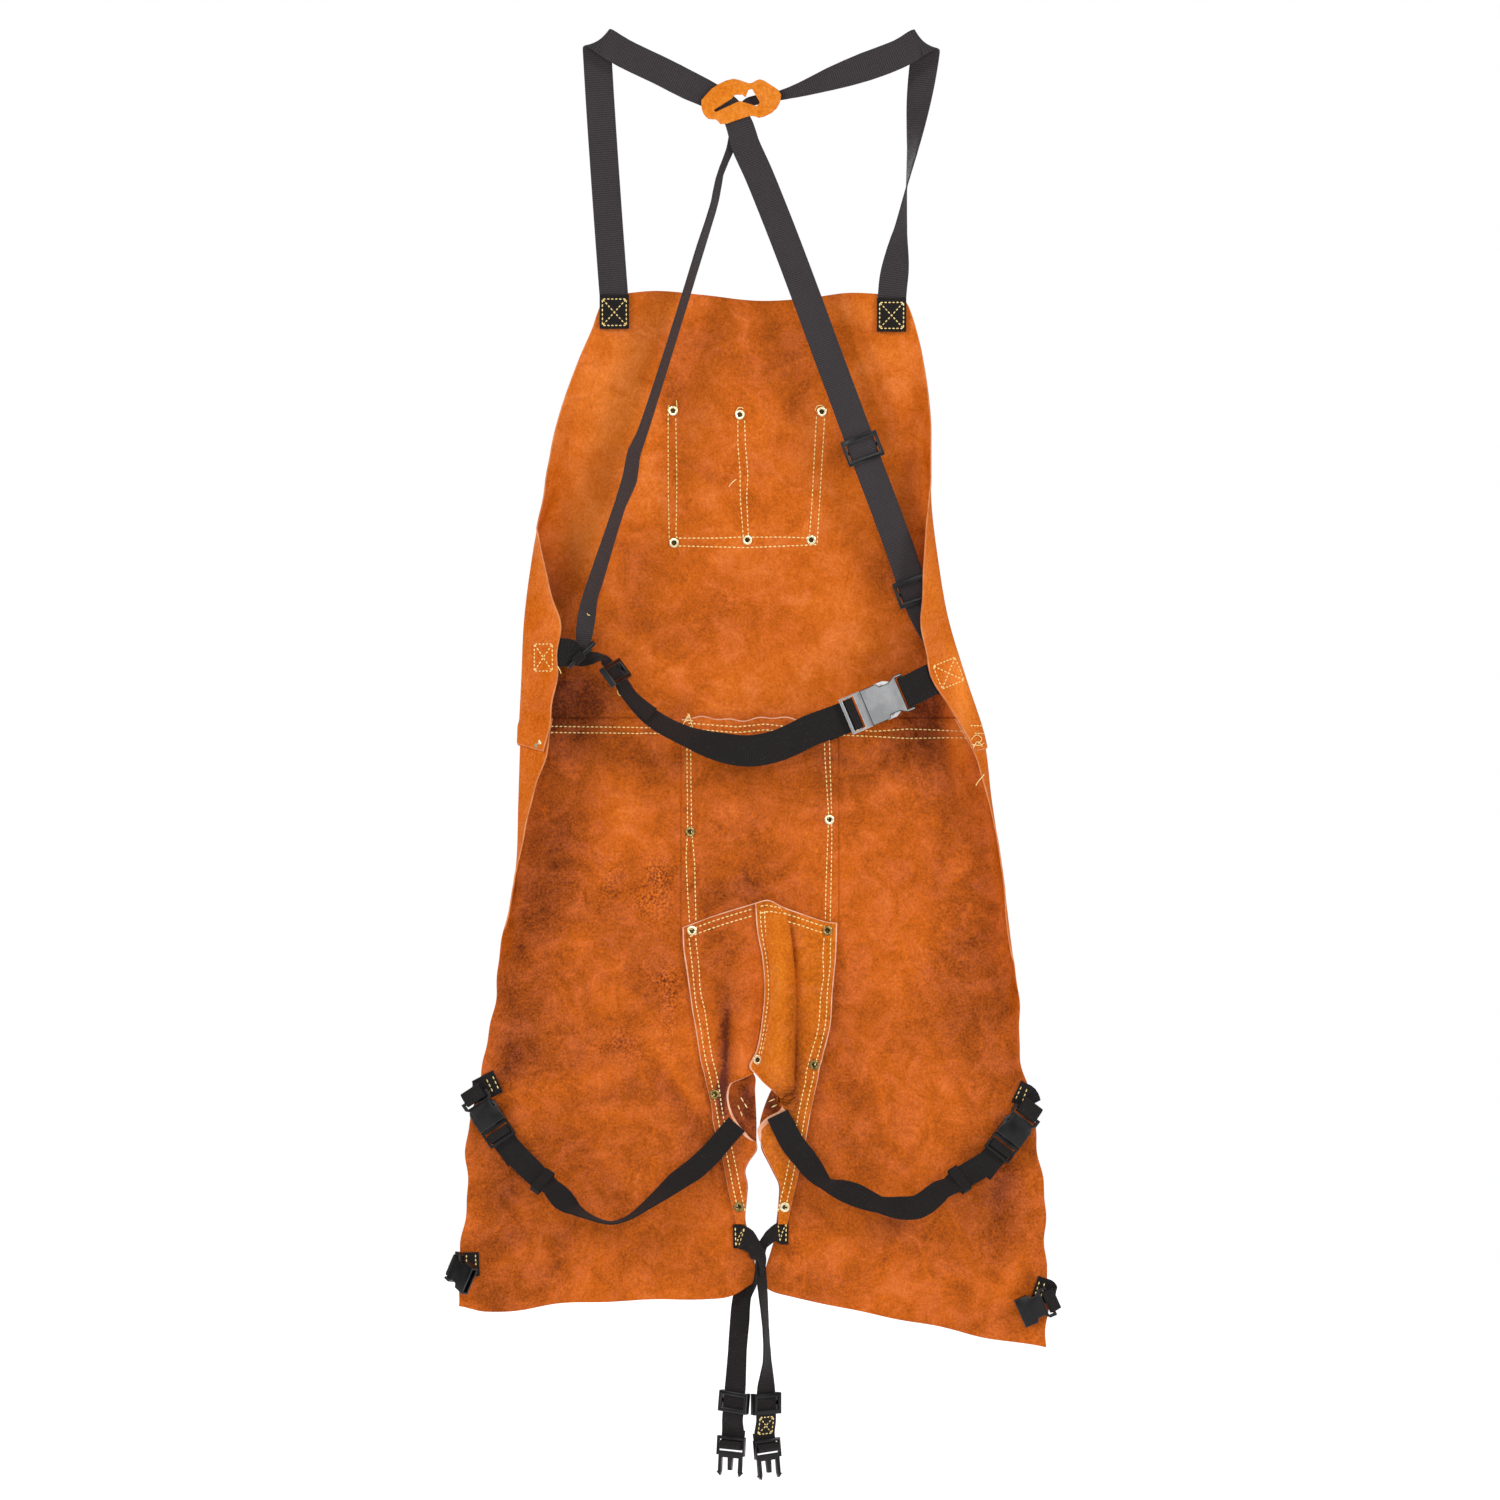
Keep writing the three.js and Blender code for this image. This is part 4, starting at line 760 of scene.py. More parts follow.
# Woven webbing: ribs along and across the strap's own length, on its UV map in millimetres
def make_weave_group():
    group, given, out = new_group("strap_weave", ("Across", "Along"), ("Height",))
    apart = add(group, "ShaderNodeSeparateXYZ", Vector=given["Vector"]).outputs

    def ribs(axis, pitch):
        return math_node(group, "SINE", math_node(group, "MULTIPLY", apart[axis], given[pitch]))

    along = ribs("Y", "Along")
    weave = math_node(group, "MULTIPLY", ribs("X", "Across"), along)
    ribbed = math_node(group, "MULTIPLY_ADD", along, 0.7, weave)
    feed(group, out, (math_node(group, "MULTIPLY_ADD", ribbed, 0.3, 0.5),))
    return group


# Rubbed and dulled patches on hard and woven parts, and specks of lint
def make_wear_group():
    group, given, out = new_group("handling_wear", ("Scale",), ("Worn", "Fleck"))
    rub = noise(group, given["Vector"], Scale=given["Scale"], Detail=4.0, Roughness=0.65)
    lint = noise(group, given["Vector"], Scale=900.0, Detail=1.0)
    feed(group, out, (ranged(group, rub["Fac"], 0.42, 0.72), ranged(group, lint["Fac"], 0.7, 0.78)))
    return group


hide_group = make_hide_group()
weave_group = make_weave_group()
wear_group = make_wear_group()


def new_look(name, **shader_values):
    look = bpy.data.materials.new(name)
    look.use_nodes = True
    tree = look.node_tree
    shader = tree.nodes["Principled BSDF"]
    for socket, value in shader_values.items():
        shader.inputs[socket.replace("_", " ")].default_value = value
    return look, tree, shader


def object_place(tree):
    return tree.nodes.new("ShaderNodeTexCoord").outputs["Object"]


def vertex_value(tree, name):
    return add(tree, "ShaderNodeAttribute", {"attribute_name": name}).outputs["Fac"]


def use_group(tree, group, place, **values):
    return add(tree, "ShaderNodeGroup", {"node_tree": group}, Vector=place, **values).outputs


def ramp(tree, factor, *stops):
    node = add(tree, "ShaderNodeValToRGB", Fac=factor)
    elements = node.color_ramp.elements
    while len(elements) < len(stops):
        elements.new(0.5)
    for element, (position, colour) in zip(elements, stops):
        element.position = position
        element.color = colour
    return node.outputs["Color"]


def mixed(tree, blend, factor, first, second):
    node = add(tree, "ShaderNodeMix", {"data_type": "RGBA", "blend_type": blend})
    feed(tree, (node.inputs["Factor"], node.inputs[6], node.inputs[7]), (factor, first, second))
    return node.outputs[2]


def roughened(tree, shader, factor, low, high):
    tree.links.new(ranged(tree, factor, 0.0, 1.0, low, high), shader.inputs["Roughness"])


def bump(tree, shader, height, strength, distance):
    node = add(tree, "ShaderNodeBump", Height=height, Strength=strength, Distance=distance)
    tree.links.new(node.outputs["Normal"], shader.inputs["Normal"])


# Tanned leather: cloudy orange brown, its tone set by the sheet, which carries stains and painted shade and
# light, and broken by the hide's own mottling
Mottle = namedtuple("Mottle", "cloud smudge speck wrinkle grain relief")
CLOUD_SCALE = 8.0
ROSY_BLOOM = (0.0, 0.004, 0.014, 1.0)
SCUFF_LEVEL = 0.55
SCUFF_STRENGTH = 2.4
CRACKLE_SHARE = 0.14
CRACKLE_SHADE = linear(150, 96, 60)


def leather_look(name, dark, middle, light, mottle, roughness, sheen):
    look, tree, shader = new_look(
        name, Sheen_Weight=sheen, Sheen_Roughness=0.6, Sheen_Tint=light, Specular_IOR_Level=0.12
    )
    mark = use_group(tree, hide_group, object_place(tree), Cloud_Scale=CLOUD_SCALE, Grain_Scale=mottle.grain)
    # the sheet's tone holds its stains and its painted shade and light
    tone = vertex_value(tree, "tone")
    for output, weight in (("Cloud", mottle.cloud), ("Smudge", mottle.smudge), ("Grain", mottle.speck)):
        change = math_node(tree, "SUBTRACT", mark[output], 0.5)
        tone = math_node(tree, "MULTIPLY_ADD", change, weight, tone)
    tone = math_node(tree, "MULTIPLY_ADD", mark["Wrinkle"], mottle.wrinkle, tone)
    pits = math_node(tree, "SUBTRACT", mark["Grain"], SCUFF_LEVEL)
    scuffed = math_node(tree, "MULTIPLY", vertex_value(tree, "scuff"), pits)
    tone = math_node(tree, "MULTIPLY_ADD", scuffed, SCUFF_STRENGTH, tone)
    tanned = ramp(tree, tone, (0.0, dark), (0.5, middle), (1.0, light))
    bloomed = mixed(tree, "ADD", ranged(tree, mark["Smudge"], 0.46, 0.62), tanned, ROSY_BLOOM)
    lined = math_node(tree, "MULTIPLY", mark["Crackle"], CRACKLE_SHARE)
    tree.links.new(mixed(tree, "MULTIPLY", lined, bloomed, CRACKLE_SHADE), shader.inputs["Base Color"])
    roughened(tree, shader, mark["Smudge"], roughness - 0.1, roughness + 0.1)
    ridged = math_node(tree, "MULTIPLY_ADD", mark["Wrinkle"], 0.5, mark["Grain"])
    bump(tree, shader, math_node(tree, "MULTIPLY_ADD", mark["Crackle"], -0.3, ridged), mottle.relief, 0.001)
    return look


DARK_TAN = linear(92, 34, 1)
TAN = linear(200, 96, 12)
PALE_TAN = linear(244, 138, 50)
DARK_SUEDE = linear(112, 48, 2)
SUEDE = linear(210, 110, 20)
PALE_SUEDE = linear(246, 160, 54)
SMOOTH = Mottle(0.62, 0.78, 0.7, 0.12, 430.0, 0.3)
NAPPED = Mottle(0.45, 0.45, 0.75, 0.0, 380.0, 0.6)
INNER_LOOK = leather_look("smooth_hide", DARK_TAN, TAN, PALE_TAN, SMOOTH, 0.6, 0.0)
OUTER_LOOK = leather_look("napped_hide", DARK_TAN, TAN, PALE_TAN, NAPPED, 0.88, 0.06)
SUEDE_LOOK = leather_look("pale_suede", DARK_SUEDE, SUEDE, PALE_SUEDE, NAPPED, 0.9, 0.08)


# The cut edge of the leather, paler and fibrous
def raw_edge_look(name, low, high):
    look, tree, shader = new_look(name, Roughness=0.85, Specular_IOR_Level=0.2)
    mark = use_group(tree, hide_group, object_place(tree), Cloud_Scale=60.0, Grain_Scale=900.0)
    tree.links.new(ramp(tree, mark["Cloud"], (0.3, low), (0.7, high)), shader.inputs["Base Color"])
    bump(tree, shader, mark["Grain"], 0.4, 0.0006)
    return look


WEAVE_ACROSS = 3.4
WEAVE_ALONG = 2.75
LINT = linear(130, 120, 112)


# Webbing, with painted shade in the grooves of its weave and painted light on its ribs, dulled where it is
# handled, with specks of lint
def webbing_look(name, low, high):
    look, tree, shader = new_look(name, Sheen_Weight=0.06, Sheen_Roughness=0.6, Specular_IOR_Level=0.15)
    uv = tree.nodes.new("ShaderNodeUVMap").outputs["UV"]
    height = use_group(tree, weave_group, uv, Across=WEAVE_ACROSS, Along=WEAVE_ALONG)["Height"]
    wear = use_group(tree, wear_group, object_place(tree), Scale=30.0)
    # painted shade and light of the weave: darker where it lies low, lighter on the ribs
    thread = ramp(tree, height, (0.1, low), (0.9, high))
    dulled = mixed(tree, "MIX", math_node(tree, "MULTIPLY", wear["Worn"], 0.25), thread, high)
    linted = mixed(tree, "MIX", math_node(tree, "MULTIPLY", wear["Fleck"], 0.3), dulled, LINT)
    tree.links.new(linted, shader.inputs["Base Color"])
    roughened(tree, shader, wear["Worn"], 0.72, 0.92)
    bump(tree, shader, height, 0.9, 0.0006)
    return look


# A hard finish that handling has rubbed in places
def rubbed_look(name, scale, fresh, rubbed, low_rough, high_rough, **shader_values):
    look, tree, shader = new_look(name, **shader_values)
    worn = use_group(tree, wear_group, object_place(tree), Scale=scale)["Worn"]
    tree.links.new(ramp(tree, worn, (0.0, fresh), (1.0, rubbed)), shader.inputs["Base Color"])
    roughened(tree, shader, worn, low_rough, high_rough)
    return look


def plastic_look(name, fresh, rubbed):
    return rubbed_look(name, 70.0, fresh, rubbed, 0.28, 0.4, Specular_IOR_Level=0.3)


def brass_look(name, dull, bright, low_rough, high_rough):
    return rubbed_look(name, 260.0, bright, dull, low_rough, high_rough, Metallic=1.0)


def thread_look():
    look, tree, shader = new_look("waxed_thread", Roughness=0.7, Sheen_Weight=0.2)
    worn = use_group(tree, wear_group, object_place(tree), Scale=220.0)["Worn"]
    colour = ramp(tree, worn, (0.0, linear(255, 232, 158)), (1.0, linear(232, 190, 96)))
    tree.links.new(colour, shader.inputs["Base Color"])
    bump(tree, shader, worn, 0.3, 0.0003)
    return look


EDGE_LOOK = raw_edge_look("cut_flap_edge", linear(192, 104, 52), linear(230, 152, 100))
PALE_EDGE_LOOK = raw_edge_look("pale_cut_edge", linear(208, 134, 98), linear(242, 196, 164))
WEB_LOOK = webbing_look("woven_webbing", linear(26, 21, 22), linear(72, 66, 68))
BLACK_WEB_LOOK = webbing_look("black_webbing", linear(7, 5, 5), linear(35, 30, 30))
PLASTIC_LOOK = plastic_look("moulded_black_plastic", linear(6, 6, 7), linear(20, 20, 22))
# A painted highlight on the rounded rims of the black moulded parts
HIGHLIGHT_RIM_LOOK = plastic_look("black_rim_painted_highlight", linear(34, 34, 36), linear(66, 66, 68))
# Black plastic painted mid grey: a painted reflection of the lamps on the waist buckle's faces
PAINTED_REFLECTION_LOOK = plastic_look("plastic_painted_reflection", linear(136, 137, 138), linear(158, 158, 159))
# A brighter painted highlight on the waist buckle's rims and buttons
PALE_HIGHLIGHT_RIM_LOOK = plastic_look("pale_rim_painted_highlight", linear(196, 196, 197), linear(232, 232, 232))
BRASS_LOOK = brass_look("pale_brass", linear(190, 170, 116), linear(250, 240, 204), 0.28, 0.48)
DARKER_BRASS_LOOK = brass_look("darker_brass", linear(66, 52, 26), linear(158, 134, 82), 0.3, 0.5)
HOLLOW_LOOK = brass_look("dark_brass", linear(34, 26, 14), linear(78, 62, 34), 0.4, 0.6)
THREAD_LOOK = thread_look()

# Darker and lighter places on the hide, partly stains from wear and handling and partly painted shade, where
# the hide curls away from the lamps or lies under the flaps, straps and belt, and painted light where it
# faces them: middle, half sizes and change of tone
MARK_COLUMNS = "x z wide tall amount"
STAINS_AND_PAINTED_SHADING = table(
    MARK_COLUMNS,
    (0, -1060, 420, 290, -0.11),
    (-140, -375, 46, 80, 0.26),
    (-95, -285, 40, 14, 0.14),
    (95, -285, 40, 14, 0.14),
    (-90, -375, 18, 50, -0.24),
    (-66, -310, 22, 48, -0.08),
    (40, -325, 24, 48, -0.14),
    (92, -420, 18, 30, -0.16),
    (90, -460, 80, 120, 0.04),
    (150, -345, 28, 40, 0.16),
    (-135, -545, 20, 40, -0.18),
    (-182, -530, 32, 50, 0.26),
    (182, -530, 26, 50, 0.14),
    (135, -562, 28, 26, -0.2),
    (-205, -660, 34, 90, -0.2),
    (-178, -690, 50, 44, -0.3),
    (214, -680, 13, 60, 1.0),
    (-228, -640, 16, 90, -0.4),
    (185, -640, 34, 80, -0.1),
    (178, -705, 42, 34, -0.34),
    (0, -735, 190, 30, -0.12),
    (10, -790, 66, 60, -0.06),
    (-10, -890, 60, 24, -0.16),
    (-130, -757, 80, 20, -0.08),
    (172, -770, 56, 40, -0.26),
    (-200, -850, 46, 90, -0.26),
    (-238, -960, 40, 110, -0.22),
    (-90, -960, 50, 60, -0.08),
    (-150, -1080, 110, 30, -0.08),
    (-258, -1060, 36, 50, -0.14),
    (-60, -1150, 60, 50, -0.12),
    (-205, -1150, 60, 34, -0.2),
    (-155, -1010, 40, 26, 0.14),
    (-270, -1195, 30, 44, -0.24),
    (-100, -1225, 60, 40, -0.12),
    (135, -1240, 40, 30, -0.1),
    (-70, -1290, 90, 30, -0.12),
    (-250, -1310, 70, 50, -0.2),
    (215, -835, 40, 40, -0.08),
    (232, -960, 44, 80, -0.22),
    (272, -1050, 40, 50, -0.08),
    (262, -1250, 56, 120, -0.14),
    (150, -1100, 60, 40, -0.08),
)
# Painted shade in the left gusset's fold hollow and along the far side of the right gusset's roll, and
# painted light on the roll: middle, half sizes and change of tone
GUSSET_PAINTED_SHADING = table(
    MARK_COLUMNS,
    (-34, -1000, 26, 60, -0.09),
    (-31, -1058, 9, 52, -0.5),
    (-35, -1104, 6, 20, -0.4),
    (24, -1000, 10, 100, 0.2),
    (38, -985, 5, 60, -0.5),
    (38, -1070, 7, 50, -0.4),
)
# Painted shade on the legs inside the opening between the gussets' lips: middle, half sizes and change of
# tone
CROTCH_PAINTED_SHADE = table(MARK_COLUMNS, (-10, -1114, 13, 36, -0.42), (16, -1114, 11, 15, -0.4))

# Places where the hide is scuffed to a coarse grain, and how much
SCUFFS = table(
    MARK_COLUMNS,
    (-102, -875, 13, 14, 0.85),
    (-110, -904, 15, 16, 0.65),
    (-97, -984, 15, 9, 0.4),
    (-139, -1052, 20, 12, 0.4),
    (-150, -880, 14, 20, 0.3),
    (-90, -1010, 8, 40, 0.4),
)


# How strongly the marks in a table show at each place
def marks_at(marks, x, z):
    shown = np.zeros(np.shape(x))
    for n in range(len(marks["x"])):
        across = (x - marks["x"][n]) / marks["wide"][n]
        along = (z - marks["z"][n]) / marks["tall"][n]
        shown = shown + marks["amount"][n] * np.exp(-across * across - along * along)
    return shown


# Tone of the hide on the wearer's face, with painted light on the raised side of its creases and folds and
# painted shade in their hollows, and its share on the outer face
MIDDLE_TONE = 0.5
SHARP_CREASE_PAINTED_SHADE = 0.035
CREASE_PAINTED_SHADE = 0.09
CREASE_PAINTED_SHADE_LIMIT = 0.14
FOLD_PAINTED_SHADE = 0.012
OUTER_TONE = 0.51
OUTER_TONE_SHARE = 0.3


def tone_at(x, z):
    # painted light on the crests of creases and folds and painted shade in their hollows
    crease_shade = fold_height(SHARP_CREASES, x, z) * SHARP_CREASE_PAINTED_SHADE + fold_height(CREASES, x, z) * CREASE_PAINTED_SHADE
    held_crease_shade = np.clip(crease_shade, -CREASE_PAINTED_SHADE_LIMIT, CREASE_PAINTED_SHADE_LIMIT)
    return MIDDLE_TONE + marks_at(STAINS_AND_PAINTED_SHADING, x, z) + held_crease_shade + fold_height(FOLDS, x, z) * FOLD_PAINTED_SHADE


def set_values(obj, name, values):
    attribute = obj.data.attributes.new(name, "FLOAT", "POINT")
    attribute.data.foreach_set("value", values.astype(np.float32))


# Sheets: a fine grid on the hide, given its thickness, with a narrow band of cut edge all round
Grid = namedtuple("Grid", "width length columns rows")
RIM_HALF = LEATHER * 0.24
BELOW_HEM = -2000
WEARER_FACE = 0
OUTER_FACE = 1
CUT_EDGE = 2
SHEET_SMOOTHING = 50


def spread(count, edge_share):
    return np.concatenate(([0.0], np.linspace(edge_share, 1 - edge_share, count - 1), [1.0]))


# Corners of every face of a sheet: its wearer's face, its outer face and a rim along each side
def sheet_faces(rows, columns):
    across = columns + 1
    count = across * (rows + 1)
    j, i = np.meshgrid(np.arange(rows), np.arange(columns), indexing="ij")
    k = (j * across + i).ravel()
    front = np.stack([k, k + across, k + across + 1, k + 1], axis=1)
    back = np.stack([k, k + 1, k + across + 1, k + across], axis=1) + count
    down = np.arange(rows) * across
    along = np.arange(columns)
    last_row = rows * across
    edges = {
        "right": (down + columns, down + columns + across),
        "left": (down + across, down),
        "top": (along, along + 1),
        "bottom": (last_row + along + 1, last_row + along),
    }
    rims = {side: np.stack([a, b, b + count, a + count], axis=1) for side, (a, b) in edges.items()}
    return front, back, rims


def leather_sheet(name, cloth, grid, place, looks, raw, raw_above=BELOW_HEM, swell=None, painted_shading=None):
    u, v = np.meshgrid(
        spread(grid.columns, RAW_EDGE / grid.width), spread(grid.rows, RAW_EDGE / grid.length)
    )
    s, z = place(u, v)
    middle = cloth(s, z)
    out = towards_wearer(cloth, s, z)
    base = LAYER_OF[name] * LAYER - (0 if swell is None else swell(u, v))
    half = np.full(u.shape, LEATHER / 2)
    half[[0, -1]] = RIM_HALF
    half[:, [0, -1]] = RIM_HALF
    wearer_points = middle + out * (base + half)[..., None]
    outer_points = middle + out * (base - half)[..., None]
    front, back, rims = sheet_faces(grid.rows, grid.columns)
    sides = raw.split()
    band = np.zeros((grid.rows, grid.columns), bool)
    band[:, 0] |= "left" in sides
    band[:, -1] |= "right" in sides
    band[0] |= "top" in sides
    band[-1] |= "bottom" in sides
    band = (band & (z[:-1, :-1] > raw_above)).ravel()
    look_of = [np.where(band, CUT_EDGE, WEARER_FACE), np.where(band, CUT_EDGE, OUTER_FACE)]
    for side, rim in rims.items():
        is_raw = (side in sides) & (z.ravel()[rim[:, 0]] > raw_above)
        look_of.append(np.where(is_raw, CUT_EDGE, OUTER_FACE))
    uvs = np.stack([s, z], axis=-1).reshape(-1, 2) / 100
    obj = mesh_object(
        name + "_hide",
        np.concatenate([wearer_points.reshape(-1, 3), outer_points.reshape(-1, 3)]),
        np.concatenate([front, back, *rims.values()]).tolist(),
        looks,
        np.concatenate(look_of),
        np.concatenate([uvs, uvs]),
    )
    x = middle[..., 0]
    tone = tone_at(x, z).ravel()
    # The sheet's own painted shade and light, where it has a table of them
    if painted_shading is not None:
        tone = tone + marks_at(painted_shading, x, z).ravel()
    scuff = marks_at(SCUFFS, x, z).ravel()
    set_values(obj, "tone", np.concatenate([tone, tone * OUTER_TONE_SHARE + OUTER_TONE]))
    set_values(obj, "scuff", np.concatenate([scuff, np.zeros(len(scuff))]))
    smooth_by_angle(obj, SHEET_SMOOTHING)
    place_on_root(obj, "suede" if name == "right_gusset" else "leather", name)
    return obj


# Gentle waves in an edge, each given by its height, turn and shift
def ripple(at, *waves):
    return sum(height * np.sin(at * turn + shift) for height, turn, shift in waves)


# How far the bib's lower edge is drawn up at the flaps, by the share across it
HIP_RISE = table("share rise", (0, 7), (0.07, 16), (0.16, 0), (0.84, 0), (0.93, 12), (1, 7))

# How far the flaps' free edges bulge out, from the depths where the bulge starts and is full
FLAP_BULGE = table(
    "z out", (-540, 0), (-575, -1.5), (-612, 4), (-645, 0.5), (-668, 1.5), (-700, -1), (-740, 0)
)
FLAP_RIPPLE = (0.9, 0.12, 0)
FLAP_BULGE_START = (400, 480)
RIGHT_BULGE_SHARE = 0.7

# How far the bib's side edges are drawn in below its rounded top corners
SHOULDER_EASE = table(
    "z left right",
    (-262, 22, 18),
    (-268, 14, 11),
    (-277, 8.5, 5),
    (-287, 7.5, 3),
    (-304, 7.5, 2),
    (-338, 4, 1),
    (-398, 1.5, 0),
    (-430, 0, 0),
)


def place_on_bib(u, v):
    top = smooth(TOP_EDGE, "x", "z", lerp(TOP_EDGE["x"][0], TOP_EDGE["x"][-1], u))
    z = lerp(top, BIB_BOTTOM + np.interp(u, HIP_RISE["share"], HIP_RISE["rise"]), v)
    cut = section(z)
    uneven = smooth(FLAP_BULGE, "z", "out", z) + ripple(z, FLAP_RIPPLE)
    bulge = uneven * smoothstep(-z, *FLAP_BULGE_START)
    left = cut.left.end - bulge + smooth(SHOULDER_EASE, "z", "left", z)
    right = cut.right.end + RIGHT_BULGE_SHARE * bulge - smooth(SHOULDER_EASE, "z", "right", z)
    return lerp(left, right, u), z


# The bib is doubled along its lower edge, which shows as a band where it comes round on the left flap
HIP_BAND = 1.5


def hip_band(u, v):
    return HIP_BAND * smoothstep(v, 0.945, 0.96) * (1 - smoothstep(u, 0.085, 0.1))


LEG_SIDE_RIPPLES = ((1.5, 0.061, 0), (0.9, 0.137, 1))
HEM_RIPPLE = (1.4, 21, 0)


def place_on_leg(side):
    def place(u, v):
        share = u if side == "left" else 1 - u
        z = lerp(LEG_TOP, smooth(HEM, "share", side, share), v)
        outer = getattr(section(z), side).end + ripple(z, *LEG_SIDE_RIPPLES)
        wave = ripple(share, HEM_RIPPLE) * v * (1 - share)
        return lerp(outer, smooth(INSEAM, "z", side, z), share), z + wave

    return place


# The centre panel runs down behind the gussets' arch
CENTRE_LEFT = -78
CENTRE_RIGHT = 86
CENTRE_TOP_RIPPLES = ((1.6, 0.083, 0), (1.1, 0.21, 1))
CENTRE_LAP = 24


def place_on_centre(u, v):
    s = lerp(CENTRE_LEFT, CENTRE_RIGHT, u)
    top = LEG_TOP + ripple(s, *CENTRE_TOP_RIPPLES)
    return s, lerp(top, smooth(ARCH, "x", "z", s) - CENTRE_LAP, v)


# The gussets follow the arch at their top and lie level from there down
GUSSET_TOP = -905
GUSSET_BOTTOM = -1239
ARCH_SHARE = 0.3


def place_on_gusset(left_edge, right_edge):
    def place(u, v):
        row = lerp(GUSSET_TOP, GUSSET_BOTTOM, v)
        s = lerp(smooth(GUSSETS, "z", left_edge, row), smooth(GUSSETS, "z", right_edge, row), u)
        fade = np.maximum(1 - v / ARCH_SHARE, 0)
        return s, row + (smooth(ARCH, "x", "z", s) - GUSSET_TOP) * fade

    return place


def place_on_pocket(u, v):
    return lerp(POCKET_LEFT, POCKET_RIGHT, u), lerp(POCKET_TOP, POCKET_BOTTOM, v)


# The two halves of the pocket stand off the bib between their seams, most at the open top
POCKET_SWELL = 3.2
POCKET_DIVIDER = 0.48


def pocket_swell(u, v):
    half = np.where(u < POCKET_DIVIDER, u / POCKET_DIVIDER, (u - POCKET_DIVIDER) / (1 - POCKET_DIVIDER))
    return POCKET_SWELL * np.sin(math.pi * np.clip(half, 0, 1)) ** 2 * (1 - smoothstep(v, 0.35, 0.95))


HIDE_LOOKS = [INNER_LOOK, OUTER_LOOK, EDGE_LOOK]
GUSSET_LOOKS = [INNER_LOOK, OUTER_LOOK, PALE_EDGE_LOOK]
SUEDE_LOOKS = [SUEDE_LOOK, SUEDE_LOOK, PALE_EDGE_LOOK]
bib = leather_sheet(
    "bib_panel", hide, Grid(540, 485, 190, 150), place_on_bib, HIDE_LOOKS, "left right bottom", swell=hip_band
)
left_leg = leather_sheet(
    "left_leg_panel",
    hide,
    Grid(300, 620, 130, 240),
    place_on_leg("left"),
    HIDE_LOOKS,
    "left",
    raw_above=-930,
    painted_shading=CROTCH_PAINTED_SHADE,
)
right_leg = leather_sheet(
    "right_leg_panel",
    hide,
    Grid(300, 640, 130, 240),
    place_on_leg("right"),
    HIDE_LOOKS,
    "right",
    raw_above=-960,
    painted_shading=CROTCH_PAINTED_SHADE,
)
centre = leather_sheet("centre_panel", hide, Grid(164, 230, 60, 70), place_on_centre, GUSSET_LOOKS, "top")
left_gusset = leather_sheet(
    "left_gusset",
    gusset_hide,
    Grid(80, 330, 64, 200),
    place_on_gusset("left_outer", "left_inner"),
    GUSSET_LOOKS,
    "left right top",
    painted_shading=GUSSET_PAINTED_SHADING,
)
right_gusset = leather_sheet(
    "right_gusset",
    gusset_hide,
    Grid(80, 330, 90, 200),
    place_on_gusset("right_inner", "right_outer"),
    SUEDE_LOOKS,
    "left right top",
    painted_shading=GUSSET_PAINTED_SHADING,
)
pocket = leather_sheet(
    "chest_pocket",
    hide,
    Grid(175, 161, 60, 56),
    place_on_pocket,
    HIDE_LOOKS,
    "left right top bottom",
    swell=pocket_swell,
)

# Webbing: stations along the strap, each a place, a face and a share of the width, swept into a flat ribbon
Station = namedtuple("Station", "place face share")


def facing(azimuth, elevation):
    a = math.radians(azimuth)
    e = math.radians(elevation)
    return Vector((math.sin(a) * math.cos(e), -math.cos(a) * math.cos(e), math.sin(e)))


def turned_over(station):
    return Station(station.place, -station.face, station.share)


# A smooth curve through points, with even tension whatever their spacing
LEAST_STEP = 1e-3


def curve_through(points, steps):
    points = np.asarray(points, float)
    ends = np.concatenate([[2 * points[0] - points[1]], points, [2 * points[-1] - points[-2]]])
    out = []
    for n in range(len(points) - 1):
        p0, p1, p2, p3 = ends[n : n + 4]
        gaps = np.linalg.norm(np.diff(ends[n : n + 4], axis=0), axis=1)
        d0, d1, d2 = np.maximum(np.sqrt(gaps), LEAST_STEP)
        leave = ((p1 - p0) / d0 - (p2 - p0) / (d0 + d1) + (p2 - p1) / d1) * d1
        arrive = ((p2 - p1) / d1 - (p3 - p1) / (d1 + d2) + (p3 - p2) / d2) * d1
        for t in np.arange(steps) / steps:
            bend = (2 * p1 - 2 * p2 + leave + arrive) * t + (-3 * p1 + 3 * p2 - 2 * leave - arrive)
            out.append(p1 + leave * t + bend * t * t)
    out.append(points[-1])
    return np.array(out)


def lengths_along(places):
    return np.concatenate([[0], np.cumsum(np.linalg.norm(np.diff(places, axis=0), axis=1))])


# Reads places or directions at lengths along a line
def read_along(lengths, values, at):
    return np.stack([np.interp(at, lengths, values[:, n]) for n in range(3)], axis=-1)


def row_of(place, azimuth=0, elevation=0, share=1):
    return (*place, azimuth, elevation, share)


def row_from(station):
    return row_of(station.place, math.degrees(math.atan2(station.face.x, -station.face.y)))


def strand(rows, steps=2, before=(), after=()):
    names = STRAP_COLUMNS.split()
    lines = [*before, *zip(*(rows[name] for name in names)), *after]
    whole = table(STRAP_COLUMNS, *lines)
    whole["n"] = np.arange(len(lines), dtype=float)
    places = curve_through([line[:3] for line in lines], steps)
    out = []
    for k, place in enumerate(places):
        azimuth, elevation, share = (float(smooth(whole, "n", column, k / steps)) for column in names[3:])
        out.append(Station(Vector(place), facing(azimuth, elevation), share))
    return out


Strap = namedtuple("Strap", "places sides ups lengths width")
WEB_EDGE_POINTS = 4
WEB_FLAT_POINTS = 7


